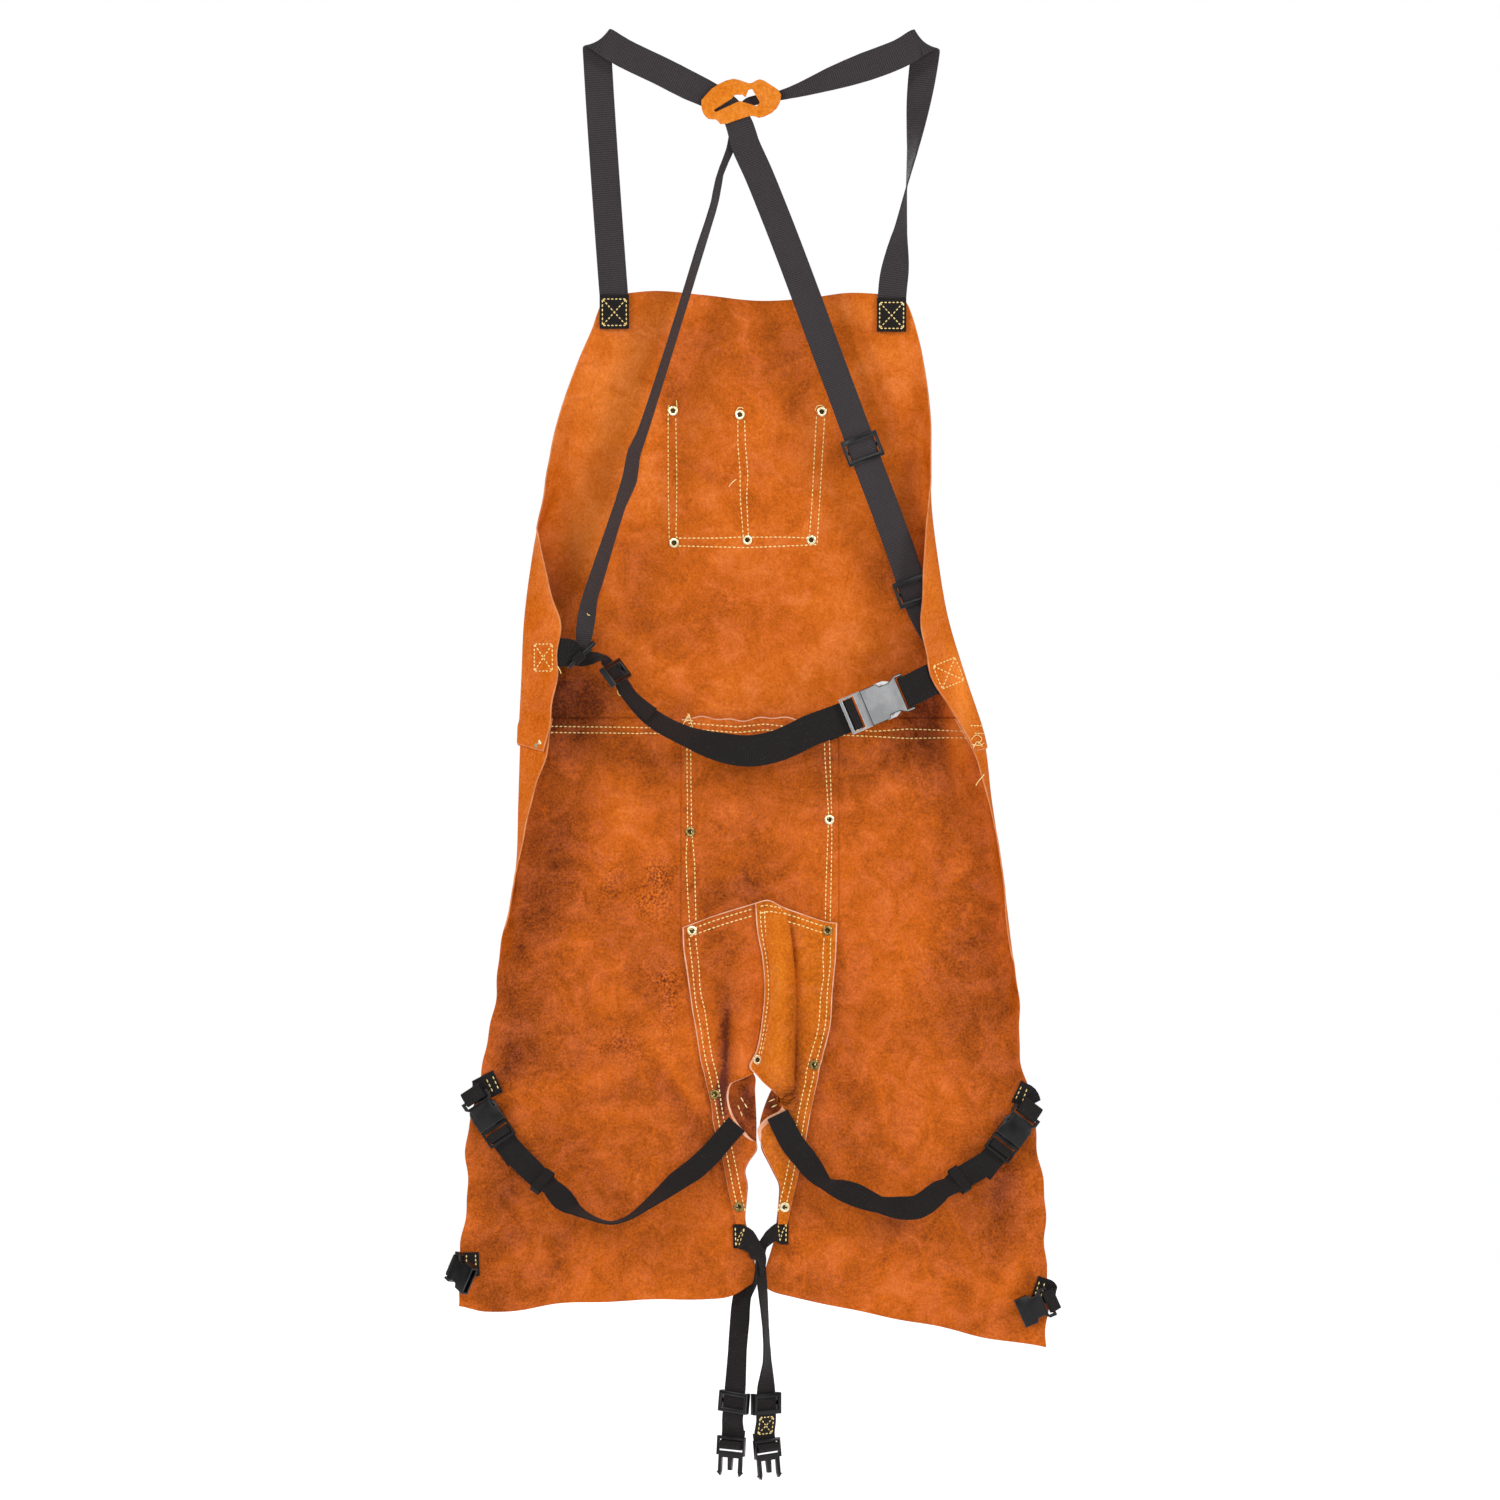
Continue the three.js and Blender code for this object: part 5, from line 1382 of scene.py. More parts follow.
# Once round the webbing's section, two flat faces and round selvedges, as shares of half width and thickness
def web_profile(width):
    radius = WEBBING / width
    flat = np.linspace(-1 + radius, 1 - radius, WEB_FLAT_POINTS)
    turn = np.linspace(-math.pi / 2, math.pi / 2, WEB_EDGE_POINTS + 2)[1:-1]
    right = [(1 - radius + radius * math.cos(t), math.sin(t)) for t in turn]
    left = [(-a, -b) for a, b in right]
    lower = [(a, -1.0) for a in flat]
    upper = [(a, 1.0) for a in flat[::-1]]
    return np.array(lower + right + upper + left)


STRAP_SMOOTHING = 55


def strap(name, stations, width, look=BLACK_WEB_LOOK, steps=5):
    places = curve_through([s.place for s in stations], steps)
    at = np.arange(len(places)) / steps
    index = np.arange(len(stations))
    face = unit(read_along(index, np.array([s.face for s in stations]), at))
    share = np.interp(at, index, [s.share for s in stations])
    along = unit(np.gradient(places, axis=0))
    side = unit(np.cross(along, face))
    up = unit(np.cross(side, along))
    lengths = lengths_along(places)
    profile = web_profile(width)
    count = len(profile)
    ring = (
        places[:, None]
        + side[:, None] * (profile[None, :, :1] * width / 2 * share[:, None, None])
        + up[:, None] * (profile[None, :, 1:] * WEBBING / 2)
    )
    n, e = np.meshgrid(np.arange(len(places) - 1), np.arange(count), indexing="ij")
    a = (n * count + e).ravel()
    b = (n * count + (e + 1) % count).ravel()
    quads = np.stack([a, a + count, b + count, b], axis=1).tolist()
    start_cap = list(range(count))
    end_cap = [(len(places) - 1) * count + e for e in reversed(range(count))]
    u = np.broadcast_to(profile[None, :, 0] * width / 2, (len(places), count))
    v = np.broadcast_to(lengths[:, None], (len(places), count))
    uvs = np.stack([u, v], axis=-1).reshape(-1, 2)
    obj = mesh_object(
        name + "_webbing",
        ring.reshape(-1, 3),
        [*quads, start_cap, end_cap],
        [look],
        uvs=uvs,
    )
    smooth_by_angle(obj, STRAP_SMOOTHING)
    place_on_root(obj, "webbing", *([name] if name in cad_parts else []))
    return Strap(places, side * share[:, None], up, lengths, width)


# A strap laid flat over the peg that it hangs on, folding along a slanted line
PEG_STEPS = 6


def slope(degrees):
    turn = math.radians(degrees)
    return Vector((math.cos(turn), 0, math.sin(turn)))


def over_peg(fold, axis_degrees, arrive_degrees, side):
    axis = slope(axis_degrees)
    arrive = slope(arrive_degrees)
    up = Vector((-axis.z, 0, axis.x))
    if up.z < 0:
        up.negate()
    drift = STRAP_FOLD_RADIUS * arrive.dot(axis) / arrive.dot(up)
    out = []
    for k in range(PEG_STEPS + 1):
        t = math.pi * k / PEG_STEPS
        radial = Vector((0, math.cos(t), 0)) + up * math.sin(t)
        along = axis * (drift * (t - math.pi / 2))
        out.append(Station(fold + (radial - up) * STRAP_FOLD_RADIUS + along, radial * side, 1))
    return out


# Webbing turned round a bar: comes in on the face side from the outward direction and leaves on the far side
TURN_STEP = 40
HALF_TURN = 180


def round_bar(bar, outward, face, radius, sweep, share):
    steps = max(3, round(sweep / TURN_STEP))
    out = []
    for k in range(steps + 1):
        t = math.radians(sweep * k / steps)
        radial = face * math.cos(t) - outward * math.sin(t)
        out.append(Station(bar + radial * radius, radial, share))
    return out


# Side-release buckles: x runs from plug to socket with the joint at 0, z is the face
BuckleSize = namedtuple("BuckleSize", "half thick socket plug bar slot")
BAR_WRAP = 3.7


def buckle_sizes(web):
    return BuckleSize(
        half=web / 2 + 3, thick=web * 0.16 + 4, socket=web * 1.42, plug=web * 0.42 + 9.6, bar=3.2, slot=4.6
    )


Axes = namedtuple("Axes", "along face matrix")


def axes_of(joint, along, face):
    along = along.normalized()
    face = (face - along * face.dot(along)).normalized()
    matrix = Matrix((along, face.cross(along), face)).transposed().to_4x4()
    matrix.translation = joint
    return Axes(along, face, matrix)


def buckle_axes(buckle):
    return axes_of(buckle.joint, buckle.along, buckle.face)


def socket_bar(buckle):
    size = buckle_sizes(buckle.web)
    return buckle.joint + buckle_axes(buckle).along * (size.socket - size.bar / 2)


# Webbing at the socket's end bar: in over the face, round the bar through the slot and back out behind it
SOCKET_TAIL_EASE = 0.4


def socket_wrap(buckle, tail):
    axes = buckle_axes(buckle)
    bar = socket_bar(buckle)
    turned = round_bar(bar, axes.along, axes.face, BAR_WRAP, HALF_TURN, 1)
    back = bar + axes.along * tail + axes.face * (SOCKET_TAIL_EASE - BAR_WRAP)
    return [*turned, Station(back, -axes.face, 1)]


# Webbing in the plug's two slots: behind the end bar, over the middle bar and back as a tail behind the strap
PLUG_RELIEF = 1.5
PLUG_SWEEP = 160
TAIL_START = 8
TAIL_GAP = 2


def plug_wrap(buckle, tail):
    axes = buckle_axes(buckle)
    size = buckle_sizes(buckle.web)
    outward = -axes.along
    flat = axes.face
    behind = size.thick / 2 - PLUG_RELIEF + WEBBING / 2
    bar = buckle.joint + axes.along * (-size.plug + 1.5 * size.bar + size.slot)

    def spot(out, up, face):
        return Station(bar + outward * out + flat * up, face.normalized(), 1)

    return [
        spot(size.bar + size.slot + 7, -behind, flat),
        spot(size.bar + size.slot + 1, -behind, flat),
        spot(size.slot + 0.8, -behind + 0.2, flat + outward * 0.4),
        spot(3.6, 1.2, flat + outward),
        *round_bar(bar, outward, flat, BAR_WRAP, PLUG_SWEEP, 1),
        spot(2.6, -behind - TAIL_GAP, -flat),
        spot(TAIL_START, -behind - TAIL_GAP - 0.3, -flat),
        spot(TAIL_START + tail, -behind - TAIL_GAP - 1, -flat),
    ]


# Webbing laid on a sheet, clear of it over its whole width: across is half the width, along s and z
def laid_on(s, z, layer, across):
    shares = np.array([-1, -0.5, 0, 0.5, 1])
    spots_s = s + shares * across[0]
    spots_z = z + shares * across[1]
    face = unit(towards_wearer(hide, spots_s, spots_z).sum(axis=0))
    base = hide(s, z)
    rise = ((hide(spots_s, spots_z) - base) @ face).max()
    height = rise + layer * LAYER + LEATHER / 2 + SEWN_CLEARANCE + WEBBING / 2
    return Station(Vector(base + face * height), Vector(face), 1)


# The same on the hidden face of the flap at a waist side, measured in from the flap's free edge
def on_flap(side, z, from_end, across):
    cut = getattr(section(np.float64(z)), side)
    return laid_on(cut.end - cut.sign * from_end, z, 0, across)


# Shoulder straps: sewn to the bib, up, over the hanging point, through the keeper and down to the waist
ACROSS_TAB = (SHOULDER_WEB / 2, 0)
LEFT_TAB_X = -148.4
RIGHT_TAB_X = 142
left_peg = over_peg(Vector((-164.6, -7.6, -4.2)), 33, 92, -1)
right_peg = over_peg(Vector((176, -8.4, -6.3)), 142, 84.5, 1)


def rise_to_peg(x, heights, rise, peg, azimuth):
    low, middle, top = (laid_on(x, z, 0, ACROSS_TAB) for z in heights)
    upwards = strand(rise, before=[row_from(top)], after=[row_of(peg[0].place, azimuth)])
    return [low, middle, *upwards, *peg[1:-1]]


left_strap_end = on_flap("right", -636, 13, (SHOULDER_WEB * 0.4, 0)).place
strap(
    "left_shoulder_strap",
    [
        *rise_to_peg(LEFT_TAB_X, (-303, -288, -272), LEFT_STRAP_RISE, left_peg, 0),
        *strand(
            LEFT_STRAP_FALL,
            before=[row_of(left_peg[-1].place, 180)],
            after=[row_of(left_strap_end, 216, 0, 0.8)],
        ),
    ],
    SHOULDER_WEB,
    WEB_LOOK,
)

# The strap ends folded over on the bib
FOLDED_END_GAP = 2.1
FOLDED_END_EXTRA = 0.8


def raised(station, height, share=1):
    return Station(station.place + station.face * height, station.face, station.share * share)


def folded_end(name, x, top, bottom):
    heights = (bottom, (bottom + top) / 2, top)
    stations = [raised(laid_on(x, z, 0, ACROSS_TAB), FOLDED_END_GAP) for z in heights]
    return strap(name, stations, SHOULDER_WEB + FOLDED_END_EXTRA)


left_end = folded_end("left_shoulder_end", LEFT_TAB_X, -268.5, -304)
right_end = folded_end("right_shoulder_end", RIGHT_TAB_X, -272, -307)

# The ring that gathers three straps at the left of the waist, seen on edge
RING_MIDDLE = Vector((-181, -40, -645))
RING_DEEP = 9
RING_WIRE = 1.9
RING_WRAP = RING_WIRE * 1.42 + 2.3 * CLEARANCE + WEBBING / 2
ring_axes = axes_of(RING_MIDDLE, Vector((0.72, 0, 0.69)), Vector((0.69, 0.12, -0.72)))
ring_depth = ring_axes.face.cross(ring_axes.along)
rear_sign = 1 if ring_depth.y > 0 else -1


def ring_bar(along, depth):
    return RING_MIDDLE + ring_axes.along * along + ring_depth * (depth * (RING_DEEP - RING_WIRE))


# A gathered strap end hooked round one of the ring's long bars, starting towards the strap
def ring_hook(bar, towards, face, share, sweep):
    outward = (towards - ring_axes.along * towards.dot(ring_axes.along)).normalized()
    across = face - ring_axes.along * face.dot(ring_axes.along)
    across = (across - outward * across.dot(outward)).normalized()
    return round_bar(bar, outward, across, RING_WRAP, sweep, share)


HOOK_SWEEP = 250
cross_hook = ring_hook(ring_bar(5.6, rear_sign), Vector((0.1, 0.3, 1)), Vector((1, -1, 0)), 0.4, HOOK_SWEEP)
belt_hook = ring_hook(ring_bar(-7.5, rear_sign), Vector((1, 0.2, 0)), Vector((0, -1, 0.6)), 0.38, HOOK_SWEEP)
tab_hook = ring_hook(ring_bar(-4.5, -rear_sign), Vector((-1, 0.1, 0)), FROM_WEARER, 0.42, HOOK_SWEEP)

strap(
    "right_shoulder_strap",
    [
        *rise_to_peg(RIGHT_TAB_X, (-306, -290, -275), RIGHT_STRAP_RISE, right_peg, 180),
        *strand(RIGHT_STRAP_FALL, before=[row_of(right_peg[-1].place)]),
        *cross_hook,
    ],
    SHOULDER_WEB,
    WEB_LOOK,
)

# Waist: a tab on each flap and the belt
SEWN_FROM_FLAP_END = (26, 14, 2)
LEFT_WAIST_TAB_Z = -643
RIGHT_WAIST_TAB_Z = -670


def sewn_to_flap(side, z, width):
    return [on_flap(side, z, from_end, (0, width / 2)) for from_end in SEWN_FROM_FLAP_END]


strap(
    "left_waist_tab",
    [
        *sewn_to_flap("left", LEFT_WAIST_TAB_Z, SHOULDER_WEB),
        Station(Vector((-200, -43.4, -643)), FROM_WEARER, 1),
        Station(Vector((-192, -44.4, -643.5)), FROM_WEARER, 0.92),
        *tab_hook,
    ],
    SHOULDER_WEB,
)
WAIST_TAB_REACH = 8
WAIST_TAB_TAIL = 9
waist_end = socket_bar(WAIST_BUCKLE) + buckle_axes(WAIST_BUCKLE).along * WAIST_TAB_REACH
strap(
    "right_waist_tab",
    [
        *map(turned_over, sewn_to_flap("right", RIGHT_WAIST_TAB_Z, BELT_WEB)),
        Station(waist_end + Vector((0, 0.5 - BAR_WRAP, 0)), TO_WEARER, 1),
        *socket_wrap(WAIST_BUCKLE, WAIST_TAB_TAIL),
    ],
    BELT_WEB,
)
LONG_TAIL = 26
SHORT_TAIL = 8
belt_run = strand(BELT_RUN)
strap("waist_belt", [*reversed(belt_hook), *belt_run, *plug_wrap(WAIST_BUCKLE, LONG_TAIL)], BELT_WEB)

# The belt's end, turned back at its slider and lying on the belt
BELT_END_SHARE = 0.96
strap("belt_end", [raised(station, FOLDED_END_GAP, BELT_END_SHARE) for station in belt_run[3:8]], BELT_WEB)


# A tab's loop at a socket's bar: comes in behind the bar, turns back beyond it and goes down through the slot
TAB_LOOP_SHARE = 0.9
TAB_BAR_SHARE = 0.94
TAB_BAR_SWEEP = 120


def tab_loop(buckle, reach, skipped):
    axes = buckle_axes(buckle)
    bar = socket_bar(buckle)
    outer_end = bar + axes.along * reach
    turned = round_bar(outer_end, -axes.along, -axes.face, BAR_WRAP, HALF_TURN, TAB_LOOP_SHARE)
    down = round_bar(bar, axes.along, axes.face, BAR_WRAP, TAB_BAR_SWEEP, TAB_BAR_SHARE)
    return [*turned[skipped:-1], *down]


# Tabs on the legs: x and z of the sewn end, its run, its loop's reach past the bar and steps of turn skipped
LEG_TABS = (
    ("left_thigh_tab", -270, -1090, -12, -5, 7, 0, LEFT_THIGH_BUCKLE),
    ("right_thigh_tab", 273, -1100, 12, -5, 9, 0, RIGHT_THIGH_BUCKLE),
    ("left_ankle_tab", -289, -1281, -17, 0, 0, 2, LEFT_ANKLE_SOCKET),
    ("right_ankle_tab", 291, -1305, 13, -4, 4, 1, RIGHT_ANKLE_SOCKET),
)
leg_tabs = {}
for name, x, z, run_x, run_z, reach, skipped, buckle in LEG_TABS:
    half = LEG_WEB / 2 / math.hypot(run_x, run_z)
    tab_across = (-run_z * half, run_x * half)
    sewn = [turned_over(laid_on(x + t * run_x, z + t * run_z, 1, tab_across)) for t in (0, 0.5, 1)]
    leg_tabs[name] = strap(name, [*sewn, *tab_loop(buckle, reach, skipped)], LEG_WEB)

# Leg straps
DOWN_LEG = (0, LEG_WEB / 2)


def thigh_strap(name, buckle, run):
    return strap(name, [*reversed(plug_wrap(buckle, LONG_TAIL)), *strand(run)], LEG_WEB)


def ankle_strap(name, sewn_x, sewn_z, run, plug):
    sewn = [laid_on(x, sewn_z, 1, DOWN_LEG) for x in sewn_x]
    return strap(name, [*sewn, *strand(run), *plug_wrap(plug, SHORT_TAIL)], LEG_WEB)


left_thigh = thigh_strap("left_thigh_strap", LEFT_THIGH_BUCKLE, LEFT_THIGH_RUN)
right_thigh = thigh_strap("right_thigh_strap", RIGHT_THIGH_BUCKLE, RIGHT_THIGH_RUN)
left_ankle = ankle_strap("left_ankle_strap", (-24, -17), -1252, LEFT_ANKLE_RUN, LEFT_ANKLE_PLUG)
right_ankle = ankle_strap("right_ankle_strap", (34, 26), -1248, RIGHT_ANKLE_RUN, RIGHT_ANKLE_PLUG)


# A narrow loop of webbing round a strap that holds its tail, at a length along the strap
KEEPER_LOOP = 11
KEEPER_LOOP_CORNER = 1.7
KEEPER_LOOP_CORNER_POINTS = 5
KEEPER_LOOP_BESIDE = 1.6
KEEPER_LOOP_FRONT = WEBBING / 2 + 1.8
KEEPER_LOOP_BEHIND = 6


def tail_loop(name, band, at):
    place = read_along(band.lengths, band.places, at)
    side = unit(read_along(band.lengths, band.sides, at))
    up = unit(read_along(band.lengths, band.ups, at))
    half = band.width / 2 + KEEPER_LOOP_BESIDE - KEEPER_LOOP_CORNER
    front = KEEPER_LOOP_FRONT - KEEPER_LOOP_CORNER
    behind = KEEPER_LOOP_CORNER - KEEPER_LOOP_BEHIND
    turns = np.linspace(0, math.pi / 2, KEEPER_LOOP_CORNER_POINTS)
    stations = []
    for quarter, (x, y) in enumerate(((half, front), (-half, front), (-half, behind), (half, behind))):
        middle = place + side * x + up * y
        for angle in turns + quarter * math.pi / 2:
            out = side * math.cos(angle) + up * math.sin(angle)
            stations.append(Station(Vector(middle + out * KEEPER_LOOP_CORNER), Vector(out), 1))
    stations.append(stations[0])
    strap(name, stations, KEEPER_LOOP, steps=2)


# The length along a strap at which a part of it reaches a value of x, y or z
def length_at(band, axis, value, part):
    places = band.places[part, axis]
    order = np.argsort(places)
    return float(np.interp(value, places[order], band.lengths[part][order]))


PAST_BUCKLE = slice(60, None)
tail_loop("left_thigh_loop", left_thigh, length_at(left_thigh, 0, -222, PAST_BUCKLE))
tail_loop("right_thigh_loop", right_thigh, length_at(right_thigh, 0, 212, PAST_BUCKLE))


# Rounds an object's sharp edges, with one of its looks on the rounding
def rounded(obj, width, segments=3, degrees=30, look=-1):
    edges = obj.modifiers.new("rounded_edges", "BEVEL")
    edges.width = width * MM
    edges.segments = segments
    edges.limit_method = "ANGLE"
    edges.angle_limit = math.radians(degrees)
    edges.material = look
    bpy.ops.object.modifier_apply(modifier="rounded_edges")


# A piece with its solid's own shape and rounded edges, the last of its looks on the rounding
MERGE_DISTANCE = 1e-6
FLAT_WITHIN = math.radians(1)
HARD_SMOOTHING = 40


def softened(name, node, looks, edge, degrees=30):
    obj = link(bpy.data.objects.new(name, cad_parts[node].data.copy()))
    obj.data.materials.clear()
    for look in looks:
        obj.data.materials.append(look)
    take_up(obj)
    bpy.ops.object.mode_set(mode="EDIT")
    bpy.ops.mesh.select_all(action="SELECT")
    bpy.ops.mesh.remove_doubles(threshold=MERGE_DISTANCE)
    bpy.ops.mesh.dissolve_limited(angle_limit=FLAT_WITHIN)
    bpy.ops.object.mode_set(mode="OBJECT")
    rounded(obj, edge, degrees=degrees, look=len(looks) - 1)
    smooth_by_angle(obj, HARD_SMOOTHING)
    return obj


# Moulded parts: sliders and the ring, with softer edges, and buckles
SLIDER_EDGE = 0.9
BUCKLE_EDGE = 0.6
MOULDED = [
    "waist_ring",
    "cross_strap_slider_upper",
    "cross_strap_slider_lower",
    "belt_slider",
    "left_ankle_slider",
    "right_ankle_slider",
    "waist_buckle_socket",
    "waist_buckle_plug",
    "left_thigh_buckle_socket",
    "left_thigh_buckle_plug",
    "right_thigh_buckle_socket",
    "right_thigh_buckle_plug",
    "left_ankle_buckle_socket",
    "right_ankle_buckle_socket",
    "left_ankle_buckle_plug",
    "right_ankle_buckle_plug",
]

# Faces and rims of the parts that are not plain black: the waist buckle's grey faces are a painted reflection
# and the plug's pale rims a painted highlight
MOULDED_LOOKS = {
    "waist_buckle_socket": (PAINTED_REFLECTION_LOOK, PLASTIC_LOOK),
    "waist_buckle_plug": (PAINTED_REFLECTION_LOOK, PALE_HIGHLIGHT_RIM_LOOK),
}

# Every other moulded part is black with a painted highlight on its rounded rims
for node in MOULDED:
    edge = BUCKLE_EDGE if "buckle" in node else SLIDER_EDGE
    looks = MOULDED_LOOKS.get(node, (PLASTIC_LOOK, HIGHLIGHT_RIM_LOOK))
    place_on_root(softened(node + "_moulding", node, looks, edge), "plastic", node)


# Picks the flat face that lies furthest along an axis
FACING_SHARE = 0.9
LEVEL_WITHIN = 1e-7


def pick_face(obj, axis):
    axis = Vector(axis)
    take_up(obj)
    bpy.ops.object.mode_set(mode="EDIT")
    bpy.ops.mesh.select_mode(type="FACE")
    bpy.ops.mesh.select_all(action="DESELECT")
    bpy.ops.object.mode_set(mode="OBJECT")
    furthest = max(polygon.center.dot(axis) for polygon in obj.data.polygons)
    for polygon in obj.data.polygons:
        is_facing = polygon.normal.dot(axis) > FACING_SHARE
        polygon.select = is_facing and polygon.center.dot(axis) > furthest - LEVEL_WITHIN
    bpy.ops.object.mode_set(mode="EDIT")


def shape_of(obj):
    points = np.empty(len(obj.data.vertices) * 3)
    obj.data.vertices.foreach_get("co", points)
    faces = [list(polygon.vertices) for polygon in obj.data.polygons]
    bpy.data.objects.remove(obj)
    return points.reshape(-1, 3) / MM, faces


# The release buttons at the sides of a joined buckle's socket, blunt at one end and tapering in at the other
BUTTON_LENGTH = 10
BUTTON_TAPER = 6
BUTTON_DROP = 3
BUTTON_REACH = 5
BUTTON_MIDDLE = 21
BUTTON_SUNK = 0.4
BUTTON_EDGE = 0.9


def release_button():
    deselect_all()
    bpy.ops.mesh.primitive_cube_add(size=MM)
    button = bpy.context.object
    button.scale = (BUTTON_LENGTH, BUTTON_REACH, BUTTON_REACH)
    bpy.ops.object.transform_apply(scale=True)
    pick_face(button, (1, 0, 0))
    taper = (BUTTON_TAPER * MM, -BUTTON_DROP * MM, 0)
    bpy.ops.mesh.extrude_region_move(TRANSFORM_OT_translate={"value": taper})
    bpy.ops.object.mode_set(mode="OBJECT")
    rounded(button, BUTTON_EDGE)
    return button


button_points, button_faces = shape_of(release_button())


def release_buttons(name, buckle, look):
    size = buckle_sizes(buckle.web)
    scale = buckle.web / BELT_WEB
    turn = np.array(buckle_axes(buckle).matrix)
    for side, word in ((1, "upper"), (-1, "lower")):
        beside = size.half - BUTTON_REACH * scale * BUTTON_SUNK
        middle = np.array((BUTTON_MIDDLE * scale, side * beside, 0))
        points = button_points * scale * (1, side, 1) + middle
        faces = button_faces if side == 1 else [face[::-1] for face in button_faces]
        obj = mesh_object(f"{name}_{word}_button", points @ turn[:3, :3].T + turn[:3, 3], faces, [look])
        smooth_by_angle(obj, HARD_SMOOTHING)
        place_on_root(obj, "plastic")


# The buttons are drawn in the painted highlight looks, pale on the waist buckle and grey on the thigh buckles
release_buttons("waist_buckle", WAIST_BUCKLE, PALE_HIGHLIGHT_RIM_LOOK)
release_buttons("left_thigh_buckle", LEFT_THIGH_BUCKLE, HIGHLIGHT_RIM_LOOK)
release_buttons("right_thigh_buckle", RIGHT_THIGH_BUCKLE, HIGHLIGHT_RIM_LOOK)

# Rivets: a rolled ring with a hollow on the wearer's side and a domed cap on the outer, each modelled once
RIVET_FLANGE = 5.2
RIVET_SIDES = 28
RIVET_SUNK = 0.1
HOLLOW_RADIUS = 2.5
HOLLOW_DEPTH = 1.1
HOLLOW_MARGIN = 0.05
RING_HALF = 0.75
RING_EDGE = 0.5
CAP_HALF = 0.8
CAP_EDGE = 1.3


def rivet_disc(half):
    deselect_all()
    bpy.ops.mesh.primitive_cylinder_add(
        vertices=RIVET_SIDES, radius=RIVET_FLANGE * MM, depth=2 * half * MM
    )
    return bpy.context.object


def rivet_ring():
    ring = rivet_disc(RING_HALF)
    pick_face(ring, (0, 0, 1))
    bpy.ops.mesh.inset(thickness=(RIVET_FLANGE - HOLLOW_RADIUS) * MM)
    bpy.ops.mesh.extrude_region_move(TRANSFORM_OT_translate={"value": (0, 0, -HOLLOW_DEPTH * MM)})
    bpy.ops.object.mode_set(mode="OBJECT")
    rounded(ring, RING_EDGE)
    return ring


def rivet_cap():
    cap = rivet_disc(CAP_HALF)
    rounded(cap, CAP_EDGE, segments=4)
    return cap


ring_points, ring_faces = shape_of(rivet_ring())
cap_points, cap_faces = shape_of(rivet_cap())
# Rivets drawn in the darker brass look
DARKER_RIVETS = (
    "left_seam_rivet_1",
    "left_seam_rivet_3",
    "left_seam_rivet_4",
    "right_seam_rivet_2",
    "right_seam_rivet_3",
)


def turned_to(axis):
    return np.array(Vector((0, 0, 1)).rotation_difference(Vector(axis)).to_matrix())


def rivet(name, s, z, through):
    layers = [LAYER_OF[sheet_name] for sheet_name in through]
    cloth = gusset_hide if "gusset" in " ".join(through) else hide
    axis = towards_wearer(cloth, np.float64(s), np.float64(z))
    base = cloth(np.float64(s), np.float64(z))
    high = max(layers) * LAYER + LEATHER / 2 + RING_HALF - RIVET_SUNK
    low = min(layers) * LAYER - LEATHER / 2 - CAP_HALF + RIVET_SUNK
    turn = turned_to(axis)
    front = ring_points @ turn.T + base + axis * high
    back = (cap_points * (1, -1, -1)) @ turn.T + base + axis * low
    points = np.concatenate([front, back])
    faces = ring_faces + [[k + len(front) for k in face] for face in cap_faces]
    reach = [np.linalg.norm(ring_points[corners][:, :2], axis=1).max() for corners in ring_faces]
    look_of = [int(far < HOLLOW_RADIUS + HOLLOW_MARGIN) for far in reach] + [0] * len(cap_faces)
    shell = DARKER_BRASS_LOOK if name in DARKER_RIVETS else BRASS_LOOK
    obj = mesh_object(name + "_stud", points, faces, [shell, HOLLOW_LOOK], look_of)
    smooth_by_angle(obj, HARD_SMOOTHING)
    place_on_root(obj, "rivet", name)


for rivet_name, rivet_x, rivet_z, rivet_through in RIVETS:
    rivet(rivet_name, rivet_x, rivet_z, rivet_through)
hip_s = float(section(np.float64(HIP_RIVET_Z)).left.end) + HIP_RIVET_FROM_FLAP_END
rivet("left_hip_rivet", hip_s, HIP_RIVET_Z, ("bib_panel", "left_leg_panel"))

# Strap keeper: a slit leather oval in front of the crossing straps
KEEPER_EDGE = 0.8
KEEPER_TONE = 0.62
keeper = softened("strap_keeper_hide", "strap_keeper", [SUEDE_LOOK], KEEPER_EDGE, degrees=50)
set_values(keeper, "tone", np.full(len(keeper.data.vertices), KEEPER_TONE))
place_on_root(keeper, "suede", "strap_keeper")

# Stitching: one thread stitch of unit size modelled once, laid along rows
STITCH_LENGTH = 3.3
STITCH_GAP = 1.4
THREAD = 0.66
BOX_STITCH_LENGTH = 2.6
STITCH_OVERLAP = 1.05
STITCH_RISE = 0.3
STITCH_WIDTH = 2
STITCH_HEIGHT = 1.6
STITCH_SMOOTHING = 60


def thread_stitch():
    deselect_all()
    bpy.ops.mesh.primitive_uv_sphere_add(segments=6, ring_count=5, radius=0.5 * MM)
    stitch = bpy.context.object
    stitch.rotation_euler = (0, math.radians(90), 0)
    bpy.ops.object.transform_apply(rotation=True)
    return stitch


stitch_points, stitch_faces = shape_of(thread_stitch())


